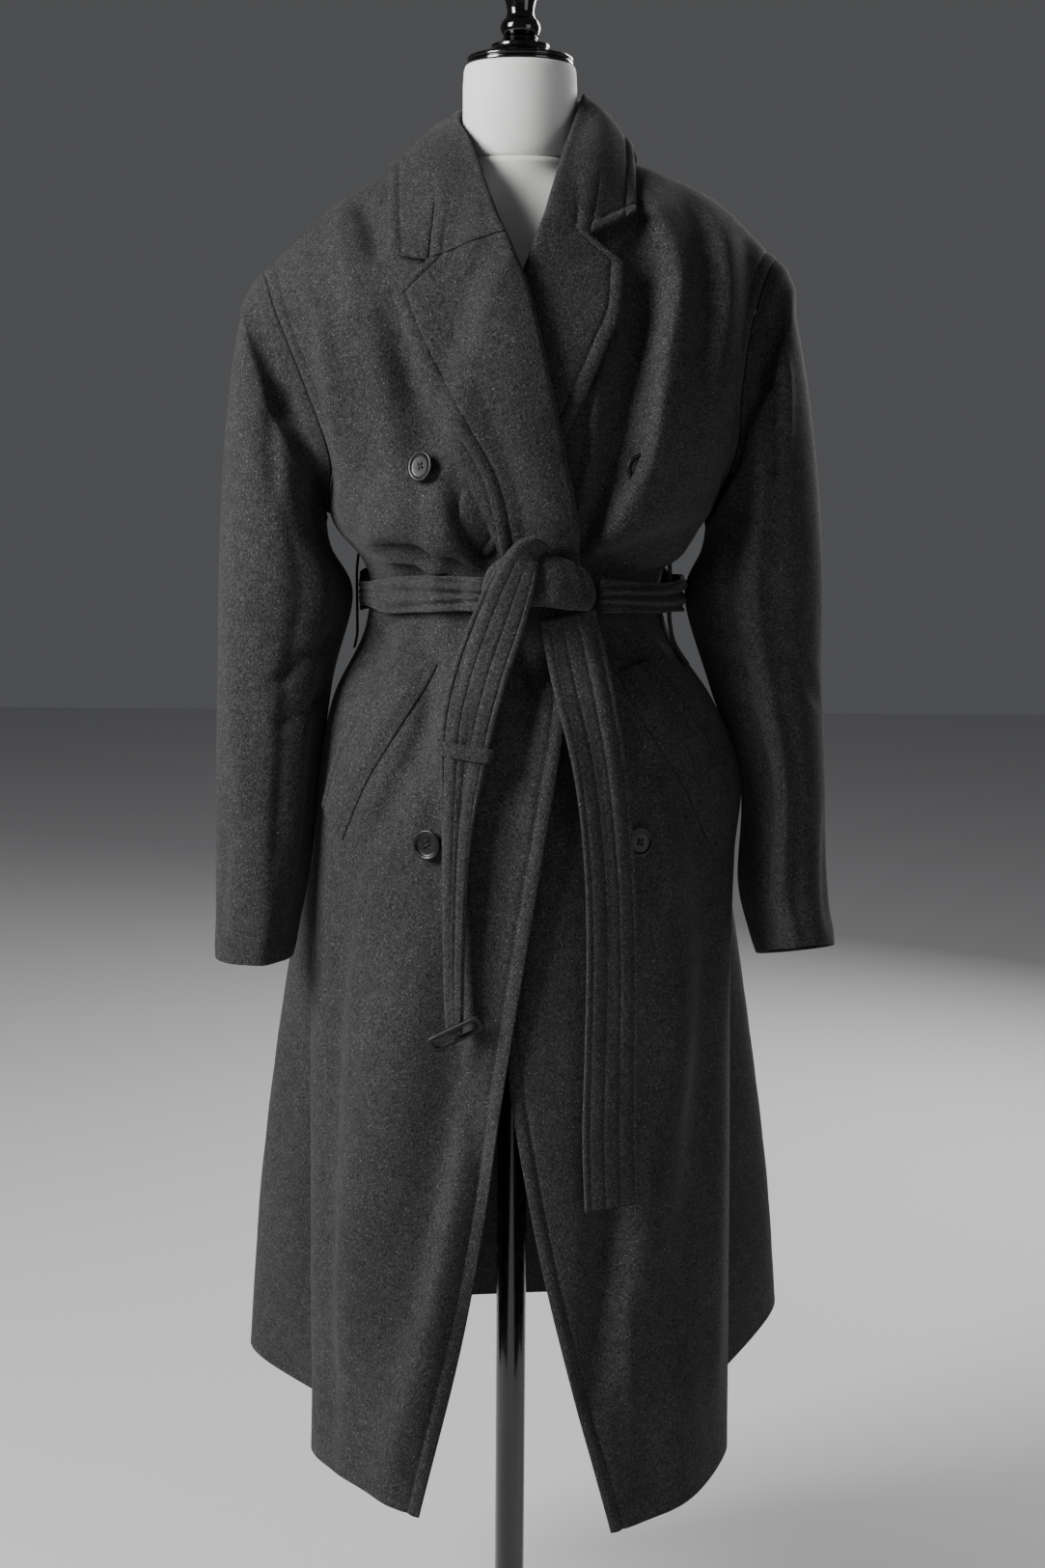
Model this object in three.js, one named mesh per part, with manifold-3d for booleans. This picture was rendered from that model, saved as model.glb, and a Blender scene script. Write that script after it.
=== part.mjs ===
// A belted, double-breasted wool trench coat, worn by a limbless dress form on a stand.
// Millimetres, +Z up. The front of the coat faces -Y and the wearer's right side is at -X.
// The origin is the middle of the underside of the stand's base, on the axis of its pole.

import * as THREE from 'three';
import { mergeVertices } from 'three/addons/utils/BufferGeometryUtils.js';
import Module from 'manifold-3d';

const wasm = await Module();
wasm.setup();

// ---- driving dimensions -------------------------------------------------------------------

const WALL = 2.4;            // thickness of the wool cloth
const SEAM = 0.3;            // gap between two pieces that are sewn together
const LAPEL_WALL = 4;        // a lapel is two layers of cloth, turned back
const LAPEL_LIFT = 4.6;      // how far a lapel stands off the panel that it lies on
const LAP_LIFT = 14.5;       // how far the right front stands off the left where they overlap

const BELT_WALL = 4;
const BAND_BACK = 46;        // height of the folded belt at the back
const BAND_FRONT = 32;       // and in front
const BELT_HEIGHT = 1187;    // middle of the band
const BELT_LIFT = 3;

const BUTTON_RADIUS = 14.5;
const BUTTON_HEIGHT = 4.5;

const NECK_RADIUS = 54;
const NECK_BOTTOM = 1603;
const NECK_TOP = 1692;
const POLE_RADIUS = 15.5;
const TORSO_BOTTOM = 938;
const BASE_RADIUS = 185;
const BASE_HEIGHT = 22;

// ---- materials ----------------------------------------------------------------------------

const finish = (color, roughness, metalness) =>
  new THREE.MeshStandardMaterial({ color, roughness, metalness });

const WOOL = finish(0x4b4a4c, 0.95, 0);
const BUTTON = finish(0x1d1c1e, 0.3, 0);
const BUCKLE = finish(0x39383a, 0.4, 0.1);
const FORM = finish(0xf0efec, 0.6, 0);
const CHROME = finish(0x8f8f93, 0.15, 1);
const BLACK_STEEL = finish(0x131315, 0.25, 0.6);

const coat = new THREE.Group();

function add(name, geometry, material) {
  const mesh = new THREE.Mesh(geometry, material);
  mesh.name = name;
  coat.add(mesh);
  return mesh;
}

// ---- small helpers ------------------------------------------------------------------------

const vec = (p) => new THREE.Vector3(p[0], p[1], p[2]);
const mix = (a, b, t) => a + (b - a) * t;
const clamp = (x, low, high) => Math.min(high, Math.max(low, x));

function smooth(low, high, x) {
  const t = clamp((x - low) / (high - low), 0, 1);
  return t * t * (3 - 2 * t);
}

// A smooth curve through values at rising knots. Values are numbers or Vector3.
function through(knots, values, x) {
  let i = 1;
  while (i < knots.length - 3 && x > knots[i + 1]) i += 1;
  const h = knots[i + 1] - knots[i];
  const t = (x - knots[i]) / h;
  const slope = (k) => {
    const before = knots[k] - knots[k - 1];
    const after = knots[k + 1] - knots[k];
    return [-after / before, after / before - before / after, before / after]
      .map((w) => w / (before + after));
  };
  const a = slope(i);
  const b = slope(i + 1);
  const t2 = t * t;
  const t3 = t2 * t;
  const start = 2 * t3 - 3 * t2 + 1;
  const end = 3 * t2 - 2 * t3;
  const leave = (t3 - 2 * t2 + t) * h;
  const arrive = (t3 - t2) * h;
  const weights = [
    leave * a[0],
    start + leave * a[1] + arrive * b[0],
    end + leave * a[2] + arrive * b[1],
    arrive * b[2],
  ];
  const four = [values[i - 1], values[i], values[i + 1], values[i + 2]];
  if (typeof four[0] === 'number') {
    return weights.reduce((sum, w, k) => sum + w * four[k], 0);
  }
  const out = new THREE.Vector3();
  weights.forEach((w, k) => out.addScaledVector(four[k], w));
  return out;
}

// The same curve through the rows of a table, with both ends carried on straight.
function tableCurve(knots, values) {
  const n = knots.length;
  const extend = (a, b) => (typeof a === 'number' ? 2 * a - b : a.clone().multiplyScalar(2).sub(b));
  const allKnots = [2 * knots[0] - knots[1], ...knots, 2 * knots[n - 1] - knots[n - 2]];
  const allValues = [extend(values[0], values[1]), ...values, extend(values[n - 1], values[n - 2])];
  return (x) => through(allKnots, allValues, x);
}

// ---- closed walls -------------------------------------------------------------------------

// A geometry from a list of Vector3 and a list of triangles.
function geometryOf(points, triangles) {
  const geometry = new THREE.BufferGeometry();
  const flat = new Float32Array(points.flatMap((p) => [p.x, p.y, p.z]));
  geometry.setAttribute('position', new THREE.BufferAttribute(flat, 3));
  geometry.setIndex(triangles.flat());
  geometry.computeVertexNormals();
  return geometry;
}

function signedVolume(points, triangles) {
  let sum = 0;
  for (const [a, b, c] of triangles) {
    sum += points[a].dot(points[b].clone().cross(points[c]));
  }
  return sum;
}

// A closed wall between two grids of points, rows by columns. A ring's rows close on
// themselves, so its only edges are its first and last rows.
function wall(outer, inner, ring = false) {
  const rows = outer.length;
  const columns = outer[0].length;
  const points = [...outer.flat(), ...inner.flat()];
  const far = rows * columns;
  const at = (i, j) => i * columns + (j % columns);
  const triangles = [];
  const quad = (a, b, c, d) => triangles.push([a, b, c], [a, c, d]);
  const spans = ring ? columns : columns - 1;
  for (let i = 0; i < rows - 1; i += 1) {
    for (let j = 0; j < spans; j += 1) {
      quad(at(i, j), at(i, j + 1), at(i + 1, j + 1), at(i + 1, j));
      quad(far + at(i, j), far + at(i + 1, j), far + at(i + 1, j + 1), far + at(i, j + 1));
    }
  }
  for (let j = 0; j < spans; j += 1) {
    quad(at(0, j), far + at(0, j), far + at(0, j + 1), at(0, j + 1));
    const last = rows - 1;
    quad(at(last, j), at(last, j + 1), far + at(last, j + 1), far + at(last, j));
  }
  if (!ring) {
    const end = columns - 1;
    for (let i = 0; i < rows - 1; i += 1) {
      quad(at(i, 0), at(i + 1, 0), far + at(i + 1, 0), far + at(i, 0));
      quad(at(i, end), far + at(i, end), far + at(i + 1, end), at(i + 1, end));
    }
  }
  if (signedVolume(points, triangles) < 0) triangles.forEach((t) => t.reverse());
  return geometryOf(points, triangles);
}

// A solid through rings of points, closed with a flat fan at both ends.
function loft(rings) {
  const columns = rings[0].length;
  const points = rings.flat();
  const triangles = [];
  for (let i = 0; i < rings.length - 1; i += 1) {
    for (let j = 0; j < columns; j += 1) {
      const a = i * columns + j;
      const b = i * columns + ((j + 1) % columns);
      triangles.push([a, b, b + columns], [a, b + columns, a + columns]);
    }
  }
  for (const [row, turn] of [[0, false], [rings.length - 1, true]]) {
    const middle = rings[row].reduce((s, p) => s.add(p), new THREE.Vector3());
    points.push(middle.divideScalar(columns));
    for (let j = 0; j < columns; j += 1) {
      const a = row * columns + j;
      const b = row * columns + ((j + 1) % columns);
      triangles.push(turn ? [a, b, points.length - 1] : [b, a, points.length - 1]);
    }
  }
  if (signedVolume(points, triangles) < 0) triangles.forEach((t) => t.reverse());
  return geometryOf(points, triangles);
}

// ---- the body of the coat -----------------------------------------------------------------
// The front and the back are each one smooth sheet over named lines that run up the body.
// reach is the distance up the cloth from the floor, and each line gives [x, y, z].
// R is the wearer's right. The seam lines are the side seams up to the underarm row, and the
// armholes above it. The last row is the shoulder seam.

const UNDERARM = 9;

const FRONT_LINES = ['seamR', 'ridgeR', 'midR', 'centre', 'midL', 'ridgeL', 'seamL'];
const FRONT_ROWS = [
  { name: 'hem', reach: 300, seamR: [-170, 12, 312], ridgeR: [-203, -62, 309],
    midR: [-140, -146, 304], centre: [0, -194, 274], midL: [150, -150, 284],
    ridgeL: [221, -62, 313], seamL: [188, 14, 316] },
  { name: 'knee', reach: 560, seamR: [-172, 8, 562], ridgeR: [-202, -58, 560],
    midR: [-130, -142, 560], centre: [0, -184, 556], midL: [140, -144, 558],
    ridgeL: [217, -56, 560], seamL: [186, 10, 562] },
  { name: 'thigh', reach: 790, seamR: [-176, 4, 790], ridgeR: [-199, -54, 790],
    midR: [-124, -138, 790], centre: [0, -176, 788], midL: [132, -138, 790],
    ridgeL: [213, -50, 790], seamL: [190, 6, 790] },
  { name: 'seat', reach: 930, seamR: [-180, 2, 930], ridgeR: [-194, -48, 930],
    midR: [-118, -134, 930], centre: [0, -168, 929], midL: [128, -132, 930],
    ridgeL: [215, -44, 930], seamL: [196, 6, 930] },
  { name: 'hip', reach: 1020, seamR: [-178, 2, 1020], ridgeR: [-187, -44, 1020],
    midR: [-112, -130, 1020], centre: [0, -158, 1019], midL: [124, -128, 1020],
    ridgeL: [217, -42, 1020], seamL: [200, 8, 1020] },
  { name: 'high hip', reach: 1085, seamR: [-168, 4, 1085], ridgeR: [-174, -42, 1085],
    midR: [-106, -122, 1085], centre: [0, -146, 1085], midL: [112, -124, 1085],
    ridgeL: [188, -46, 1085], seamL: [180, 8, 1085] },
  { name: 'under the belt', reach: 1156, seamR: [-146, 6, 1156], ridgeR: [-139, -42, 1156],
    midR: [-90, -102, 1156], centre: [0, -123, 1156], midL: [91, -102, 1156],
    ridgeL: [140, -42, 1156], seamL: [146, 8, 1156] },
  { name: 'waist', reach: 1188, seamR: [-142, 6, 1188], ridgeR: [-134, -44, 1188],
    midR: [-86, -100, 1188], centre: [0, -120, 1188], midL: [86, -100, 1188],
    ridgeL: [132, -44, 1188], seamL: [140, 8, 1188] },
  { name: 'over the belt', reach: 1220, seamR: [-148, 5, 1218], ridgeR: [-141, -48, 1218],
    midR: [-91, -105, 1218], centre: [0, -124, 1219], midL: [92, -104, 1218],
    ridgeL: [138, -49, 1218], seamL: [146, 8, 1218] },
  { name: 'underarm', reach: 1262, seamR: [-180, 2, 1262], ridgeR: [-168, -66, 1256],
    midR: [-106, -134, 1256], centre: [0, -140, 1258], midL: [112, -130, 1256],
    ridgeL: [172, -68, 1252], seamL: [180, 8, 1258] },
  { name: 'low chest', reach: 1316, seamR: [-176, -66, 1312], ridgeR: [-150, -106, 1310],
    midR: [-92, -142, 1310], centre: [0, -148, 1310], midL: [104, -140, 1310],
    ridgeL: [168, -104, 1312], seamL: [206, -66, 1318] },
  { name: 'chest', reach: 1390, seamR: [-199, -76, 1382], ridgeR: [-158, -112, 1384],
    midR: [-88, -142, 1388], centre: [0, -150, 1392], midL: [92, -142, 1388],
    ridgeL: [172, -110, 1386], seamL: [212, -75, 1386] },
  { name: 'upper chest', reach: 1470, seamR: [-228, -52, 1448], ridgeR: [-176, -90, 1458],
    midR: [-90, -118, 1470], centre: [0, -124, 1482], midL: [94, -116, 1474],
    ridgeL: [184, -86, 1464], seamL: [222, -60, 1448] },
  { name: 'yoke', reach: 1550, seamR: [-242, -24, 1484], ridgeR: [-184, -46, 1520],
    midR: [-90, -76, 1550], centre: [0, -94, 1562], midL: [94, -74, 1556],
    ridgeL: [192, -46, 1528], seamL: [240, -30, 1498] },
  { name: 'shoulder', reach: 1625, seamR: [-248, 4, 1494], ridgeR: [-170, 4, 1564],
    midR: [-74, 2, 1608], centre: [0, 44, 1612], midL: [74, 2, 1609],
    ridgeL: [176, 4, 1569], seamL: [251, 4, 1510] },
];

const BACK_LINES = ['seamR', 'fluteR', 'backR', 'spine', 'backL', 'fluteL', 'seamL'];
const BACK_ROWS = [
  { fluteR: [-290, 150, 336], backR: [-152, 222, 352], spine: [0, 230, 362],
    backL: [152, 226, 368], fluteL: [294, 168, 384] },
  { fluteR: [-270, 124, 560], backR: [-140, 194, 562], spine: [0, 202, 564],
    backL: [142, 196, 564], fluteL: [274, 136, 566] },
  { fluteR: [-236, 98, 790], backR: [-130, 170, 790], spine: [0, 176, 790],
    backL: [132, 170, 790], fluteL: [238, 104, 790] },
  { fluteR: [-208, 82, 930], backR: [-120, 156, 930], spine: [0, 160, 930],
    backL: [122, 156, 930], fluteL: [212, 86, 930] },
  { fluteR: [-190, 72, 1020], backR: [-112, 144, 1020], spine: [0, 146, 1020],
    backL: [114, 144, 1020], fluteL: [196, 76, 1020] },
  { fluteR: [-172, 64, 1085], backR: [-104, 128, 1085], spine: [0, 130, 1085],
    backL: [106, 128, 1085], fluteL: [178, 66, 1085] },
  { fluteR: [-139, 52, 1156], backR: [-88, 96, 1156], spine: [0, 102, 1156],
    backL: [90, 96, 1156], fluteL: [140, 52, 1156] },
  { fluteR: [-134, 50, 1188], backR: [-84, 92, 1188], spine: [0, 98, 1188],
    backL: [86, 92, 1188], fluteL: [134, 50, 1188] },
  { fluteR: [-142, 53, 1218], backR: [-88, 97, 1218], spine: [0, 102, 1218],
    backL: [90, 97, 1218], fluteL: [142, 53, 1218] },
  { fluteR: [-170, 66, 1256], backR: [-104, 126, 1256], spine: [0, 128, 1258],
    backL: [106, 126, 1256], fluteL: [170, 68, 1254] },
  { seamR: [-184, 50, 1316], fluteR: [-158, 98, 1312], backR: [-96, 128, 1312],
    spine: [0, 128, 1312], backL: [98, 128, 1312], fluteL: [162, 98, 1312],
    seamL: [192, 52, 1318] },
  { seamR: [-198, 76, 1388], fluteR: [-160, 108, 1390], backR: [-92, 128, 1392],
    spine: [0, 126, 1394], backL: [94, 128, 1392], fluteL: [164, 108, 1390],
    seamL: [206, 76, 1390] },
  { seamR: [-228, 56, 1452], fluteR: [-176, 88, 1464], backR: [-92, 108, 1480],
    spine: [0, 108, 1488], backL: [94, 108, 1482], fluteL: [182, 88, 1468],
    seamL: [234, 58, 1458] },
  { seamR: [-243, 30, 1484], fluteR: [-184, 50, 1522], backR: [-92, 70, 1556],
    spine: [0, 80, 1562], backL: [94, 70, 1558], fluteL: [192, 50, 1528],
    seamL: [247, 32, 1496] },
  { fluteR: [-170, 4, 1564], backR: [-74, 2, 1608], spine: [0, 44, 1612],
    backL: [74, 2, 1609], fluteL: [176, 4, 1569] },
].map((row, i) => ({ seamR: FRONT_ROWS[i].seamR, seamL: FRONT_ROWS[i].seamL, ...row }));

const REACH = FRONT_ROWS.map((row) => row.reach);
const TOP = REACH.length - 1;

// Points of one sheet with a row and a column added all round it, so that the sheet meets the
// one next to it smoothly at the side seams and the shoulder.
function sheetPoints(rows, lines, otherRows, otherLines) {
  const grid = rows.map((row) => lines.map((line) => vec(row[line])));
  const other = otherRows.map((row) => otherLines.map((line) => vec(row[line])));
  const last = lines.length - 1;
  const carry = (a, b) => a.clone().multiplyScalar(2).sub(b);
  const widened = grid.map((row, i) => {
    const joined = i <= UNDERARM;
    const first = joined ? other[i][1] : carry(row[0], row[1]);
    const end = joined ? other[i][last - 1] : carry(row[last], row[last - 1]);
    return [first, ...row, end];
  });
  const below = widened[0].map((p, j) => carry(p, widened[1][j]));
  const above = [0, ...lines.keys(), last].map((j) => other[TOP - 1][j].clone());
  return [below, ...widened, above];
}

const V_KNOTS = [2 * REACH[0] - REACH[1], ...REACH, 2 * REACH[TOP] - REACH[TOP - 1]];

// A sheet is a function of u, 0 to 1 from the right seam to the left one, and of the reach.
function sheet(points) {
  const columns = points[0].length;
  const uKnots = [...Array(columns).keys()].map((j) => (j - 1) / (columns - 3));
  const lines = uKnots.map((_, j) => points.map((row) => row[j]));
  return (u, reach) => through(uKnots, lines.map((line) => through(V_KNOTS, line, reach)), u);
}

const frontSheet = sheet(sheetPoints(FRONT_ROWS, FRONT_LINES, BACK_ROWS, BACK_LINES));
const backSheet = sheet(sheetPoints(BACK_ROWS, BACK_LINES, FRONT_ROWS, FRONT_LINES));

// The outward normal of a sheet: side is 1 for the front and -1 for the back.
function normalOf(surface, u, reach, side) {
  const du = surface(u + 0.004, reach).sub(surface(u - 0.004, reach));
  const dv = surface(u, reach + 2).sub(surface(u, reach - 2));
  return du.cross(dv).multiplyScalar(side).normalize();
}

// The place on the front sheet that is seen at x, z from the front.
function frontAt(x, z) {
  let u = 0.5;
  let reach = z;
  for (let step = 0; step < 30; step += 1) {
    const p = frontSheet(u, reach);
    const du = frontSheet(u + 0.002, reach).sub(p).divideScalar(0.002);
    const dv = frontSheet(u, reach + 1).sub(p);
    const bottom = du.x * dv.z - du.z * dv.x;
    const ex = x - p.x;
    const ez = z - p.z;
    u = clamp(u + (ex * dv.z - ez * dv.x) / bottom, 0.01, 0.99);
    reach = clamp(reach + (du.x * ez - du.z * ex) / bottom, REACH[0], REACH[TOP]);
  }
  return { u, reach };
}

// ---- where the fronts end and how they overlap ----------------------------------------------
// x of each front's edge at each row: the free edge below the break, the roll line above it.

const RIGHT_EDGE = [-87, -32, 2, 23, 37, 47, 50, 52, 51, 50, 44, 27, 3, -30, -74];
const LEFT_EDGE = [99, 28, -12, -28, -36, -42, -47, -50, -50, -49, -44, -26, 3, 34, 74];
const rightEdge = tableCurve(REACH, RIGHT_EDGE);
const leftEdge = tableCurve(REACH, LEFT_EDGE);

// u of the point of a row that is at x.
function uAt(x, reach) {
  let low = 0.05;
  let high = 0.95;
  for (let step = 0; step < 40; step += 1) {
    const middle = (low + high) / 2;
    if (frontSheet(middle, reach).x < x) low = middle;
    else high = middle;
  }
  return (low + high) / 2;
}

// The right front rises over the edge of the left front.
const lapLift = (x, reach) => LAP_LIFT * smooth(leftEdge(reach) - 46, leftEdge(reach) - 12, x);

// ---- folds --------------------------------------------------------------------------------
// Each fold is a soft trough or ridge along a line on the sheet. from and to are [x, z] as
// seen from the front or the back, width is across it and depth is its height (- is a trough).

const FRONT_FOLDS = [
  { name: 'right front, edge trough', from: [8, 1120], to: [-60, 330], width: 42, depth: -12 },
  { name: 'right front, broad roll', from: [-90, 880], to: [-128, 310], width: 60, depth: 8 },
  { name: 'left front, long roll', from: [150, 960], to: [176, 300], width: 46, depth: 7 },
  { name: 'left front, edge trough', from: [96, 700], to: [140, 290], width: 40, depth: -6 },
  { name: 'right front, pocket fold', from: [-110, 1170], to: [-136, 1090], width: 20, depth: -9 },
  { name: 'right chest trough', from: [-122, 1470], to: [-88, 1300], width: 34, depth: -9 },
  { name: 'left armhole drape', from: [150, 1530], to: [112, 1260], width: 38, depth: -16 },
  { name: 'left chest ridge', from: [176, 1440], to: [92, 1250], width: 36, depth: 11 },
  { name: 'left gather', from: [62, 1340], to: [66, 1240], width: 18, depth: -9 },
  { name: 'right pillow', from: [-150, 1240], to: [-60, 1240], width: 18, depth: 9 },
];
const BACK_FOLDS = [
  { name: 'back right flute', from: [-70, 1080], to: [-92, 350], width: 46, depth: -13 },
  { name: 'back left flute', from: [64, 1090], to: [80, 360], width: 50, depth: -12 },
  { name: 'blade drape', from: [-120, 1470], to: [-70, 1250], width: 34, depth: -8 },
  { name: 'blade drape left', from: [126, 1480], to: [76, 1250], width: 36, depth: -9 },
];

// How deep a fold is at x, z: full along its middle, fading out past its two ends.
function foldDepth(fold, x, z) {
  const [x0, z0] = fold.from;
  const [x1, z1] = fold.to;
  const length = Math.hypot(x1 - x0, z1 - z0);
  const ux = (x1 - x0) / length;
  const uz = (z1 - z0) / length;
  const along = (x - x0) * ux + (z - z0) * uz;
  const across = (x - x0) * uz - (z - z0) * ux;
  const reach = smooth(-0.1, 0.25, along / length) * (1 - smooth(0.8, 1.15, along / length));
  return fold.depth * reach * Math.exp(-((across / (fold.width / 2)) ** 2));
}

const foldsAt = (folds, p) => folds.reduce((sum, fold) => sum + foldDepth(fold, p.x, p.z), 0);

// A point of the front, lift outside the sheet. Cloth that overlaps is folded alike.
function frontPoint(u, reach, lift) {
  const p = frontSheet(u, reach);
  const edgeFade = smooth(0, 0.06, u) * (1 - smooth(0.94, 1, u));
  const height = lift + foldsAt(FRONT_FOLDS, p) * edgeFade;
  return p.addScaledVector(normalOf(frontSheet, u, reach, 1), height);
}

function backPoint(u, reach, lift) {
  const p = backSheet(u, reach);
  const edgeFade = smooth(0, 0.06, u) * (1 - smooth(0.94, 1, u));
  const height = lift + foldsAt(BACK_FOLDS, p) * edgeFade;
  return p.addScaledVector(normalOf(backSheet, u, reach, -1), height);
}

// ---- fronts and back ------------------------------------------------------------------------

// Heights of the rows of a panel's grid: closer together where the cloth blouses at the belt.
function gridRows(bottomTrim, topTrim) {
  const rows = [];
  const steps = [2, 2, 1, 1, 1, 1, 1, 1, 1, 2, 2, 2, 2, 2];
  steps.forEach((count, i) => {
    for (let k = 0; k < count; k += 1) rows.push(mix(REACH[i], REACH[i + 1], k / count));
  });
  rows.push(REACH[TOP]);
  rows[0] += bottomTrim;
  rows[rows.length - 1] -= topTrim;
  return rows;
}

const HALF_GAP = SEAM / 2 + 0.2;
const FRONT_GIRTH = 560;      // about how long a row of the front sheet is
const NECK_DIP = 34;          // how far the back neckline is cut below the shoulder row

// The neckline of the back: how far a row's top is cut down at x.
const neckDip = (x) => NECK_DIP * (1 - smooth(52, 80, Math.abs(x)));

function panelWall(pointAt, columns, range, lift, dip = () => 0) {
  const grid = (extra) => gridRows(0, HALF_GAP).map((reach) => {
    const [start, end] = range(reach);
    return [...Array(columns + 1).keys()].map((j) => {
      const u = mix(start, end, j / columns);
      const cut = reach - dip(u) * smooth(REACH[TOP - 2], REACH[TOP], reach);
      return pointAt(u, cut, lift(u, cut) + extra);
    });
  });
  return wall(grid(WALL), grid(0));
}

const PANEL_COLUMNS = 12;
const trim = HALF_GAP / FRONT_GIRTH;

const rightLift = (u, reach) => lapLift(frontSheet(u, reach).x, reach);
const noLift = () => 0;
add('front_right', panelWall(frontPoint, PANEL_COLUMNS,
  (reach) => [trim, uAt(rightEdge(reach), reach) - trim], rightLift), WOOL);
add('front_left', panelWall(frontPoint, PANEL_COLUMNS,
  (reach) => [uAt(leftEdge(reach), reach) + trim, 1 - trim], noLift), WOOL);
add('back', panelWall(backPoint, 2 * PANEL_COLUMNS - 2, () => [trim, 1 - trim], noLift,
  (u) => neckDip(backSheet(u, REACH[TOP]).x)), WOOL);

// ---- lapels ---------------------------------------------------------------------------------
// Each lapel is the top of a front, turned back along its roll line. A row gives the reach of
// its point on the roll line and the [x, z] of its point on the outer edge. The last row is the
// seam with the collar, up to the notch.

const RIGHT_LAPEL = [
  { roll: 1223, edge: [-9, 1221] },
  { roll: 1262, edge: [-17, 1252] },
  { roll: 1316, edge: [-32, 1306] },
  { roll: 1360, edge: [-54, 1346] },
  { roll: 1405, edge: [-77, 1385] },
  { roll: 1450, edge: [-99, 1428] },
  { roll: 1482, edge: [-114, 1464] },
  { roll: 1507, edge: [-79, 1497] },
];
const LEFT_LAPEL = [
  { roll: 1236, edge: [-22, 1236] },
  { roll: 1262, edge: [-6, 1258] },
  { roll: 1300, edge: [18, 1298] },
  { roll: 1350, edge: [44, 1341] },
  { roll: 1400, edge: [64, 1380] },
  { roll: 1448, edge: [80, 1418] },
  { roll: 1480, edge: [92, 1448] },
  { roll: 1500, edge: [96, 1494] },
  { roll: 1518, edge: [62, 1521] },
];
const LAPEL_COLUMNS = 4;

function lapelWall(table, edgeX, baseLift, swell) {
  const grid = (extra) => table.map((row) => {
    const rollU = uAt(edgeX(row.roll), row.roll);
    const edge = frontAt(...row.edge);
    return [...Array(LAPEL_COLUMNS + 1).keys()].map((j) => {
      const t = j / LAPEL_COLUMNS;
      const u = mix(rollU, edge.u, t);
      const reach = mix(row.roll, edge.reach, t);
      const bow = swell * Math.sin(Math.PI * clamp(t * 1.5 + 0.1, 0, 1));
      return frontPoint(u, reach, baseLift(u, reach) + LAPEL_LIFT + bow + extra);
    });
  });
  return wall(grid(WALL + LAPEL_WALL), grid(WALL));
}

add('lapel_right', lapelWall(RIGHT_LAPEL, rightEdge, rightLift, 5.5), WOOL);
add('lapel_left', lapelWall(LEFT_LAPEL, leftEdge, noLift, 0.6), WOOL);

// ---- collar ---------------------------------------------------------------------------------
// The collar stands up from the neckline and folds over. A row gives its stand's foot, the
// top of its fold and its outer edge, from the right notch round the neck to the left one.

const COLLAR_ROWS = [
  { foot: [-4, -118, 1526], fold: [-12, -136, 1528], middle: [-78, -122, 1505],
    edge: [-120, -106, 1507] },
  { foot: [-23, -86, 1560], fold: [-27, -110, 1558], middle: [-76, -96, 1558],
    edge: [-123, -72, 1545] },
  { foot: [-59, -36, 1600], fold: [-46, -54, 1612], middle: [-88, -50, 1608],
    edge: [-124, -28, 1588] },
  { foot: [-67, 6, 1609], fold: [-60, -8, 1640], middle: [-90, -2, 1628],
    edge: [-124, 12, 1594] },
  { foot: [-47, 39, 1599], fold: [-54, 46, 1656], middle: [-82, 62, 1634],
    edge: [-110, 74, 1586] },
  { foot: [0, 60.5, 1591], fold: [0, 68, 1664], middle: [0, 86, 1640],
    edge: [0, 98, 1578] },
  { foot: [47, 39, 1600], fold: [55, 46, 1664], middle: [80, 60, 1646],
    edge: [108, 74, 1602] },
  { foot: [67, 6, 1610], fold: [61, -4, 1663], middle: [84, -4, 1646],
    edge: [108, 4, 1618] },
  { foot: [58, -36, 1601], fold: [50, -50, 1626], middle: [80, -48, 1620],
    edge: [110, -34, 1594] },
  { foot: [28, -84, 1566], fold: [33, -106, 1572], middle: [72, -94, 1570],
    edge: [110, -68, 1564] },
  { foot: [13, -102, 1540], fold: [21, -123, 1539], middle: [62, -117, 1528],
    edge: [110, -94, 1546] },
];
const COLLAR_STEPS = 2;       // sections made between two rows
const COLLAR_WALL = 3.4;

// The points of a section, with the fold rounded by a point on each side of it.
function collarSection(row) {
  const [foot, fold, middle, edge] = [row.foot, row.fold, row.middle, row.edge].map(vec);
  const inside = fold.clone().lerp(foot, 0.22);
  const outside = fold.clone().lerp(middle, 0.25);
  return [foot, inside, fold, outside, middle, edge];
}

function collarWall() {
  const sections = COLLAR_ROWS.map(collarSection);
  const knots = sections.map((_, i) => i);
  const lines = sections[0].map((_, j) => tableCurve(knots, sections.map((row) => row[j])));
  const count = (sections.length - 1) * COLLAR_STEPS;
  const middle = [...Array(count + 1).keys()].map((i) => lines.map((line) => line(i / COLLAR_STEPS)));
  const moved = (sign) => middle.map((row, i) => row.map((p, j) => {
    const along = middle[Math.min(i + 1, count)][j].clone().sub(middle[Math.max(i - 1, 0)][j]);
    const across = row[Math.min(j + 1, row.length - 1)].clone().sub(row[Math.max(j - 1, 0)]);
    const normal = along.cross(across).normalize();
    return p.clone().addScaledVector(normal, sign * COLLAR_WALL / 2);
  }));
  return wall(moved(1), moved(-1));
}

add('collar', collarWall(), WOOL);

// ---- sleeves --------------------------------------------------------------------------------
// A sleeve starts at the armhole and goes on through oval rings. A ring gives its middle, half
// its width across and from front to back, how much its outer side is higher than its inner
// side, and how much its front is higher than its back. gap is how far outside the armhole's
// edge the sleeve head starts.

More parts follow.
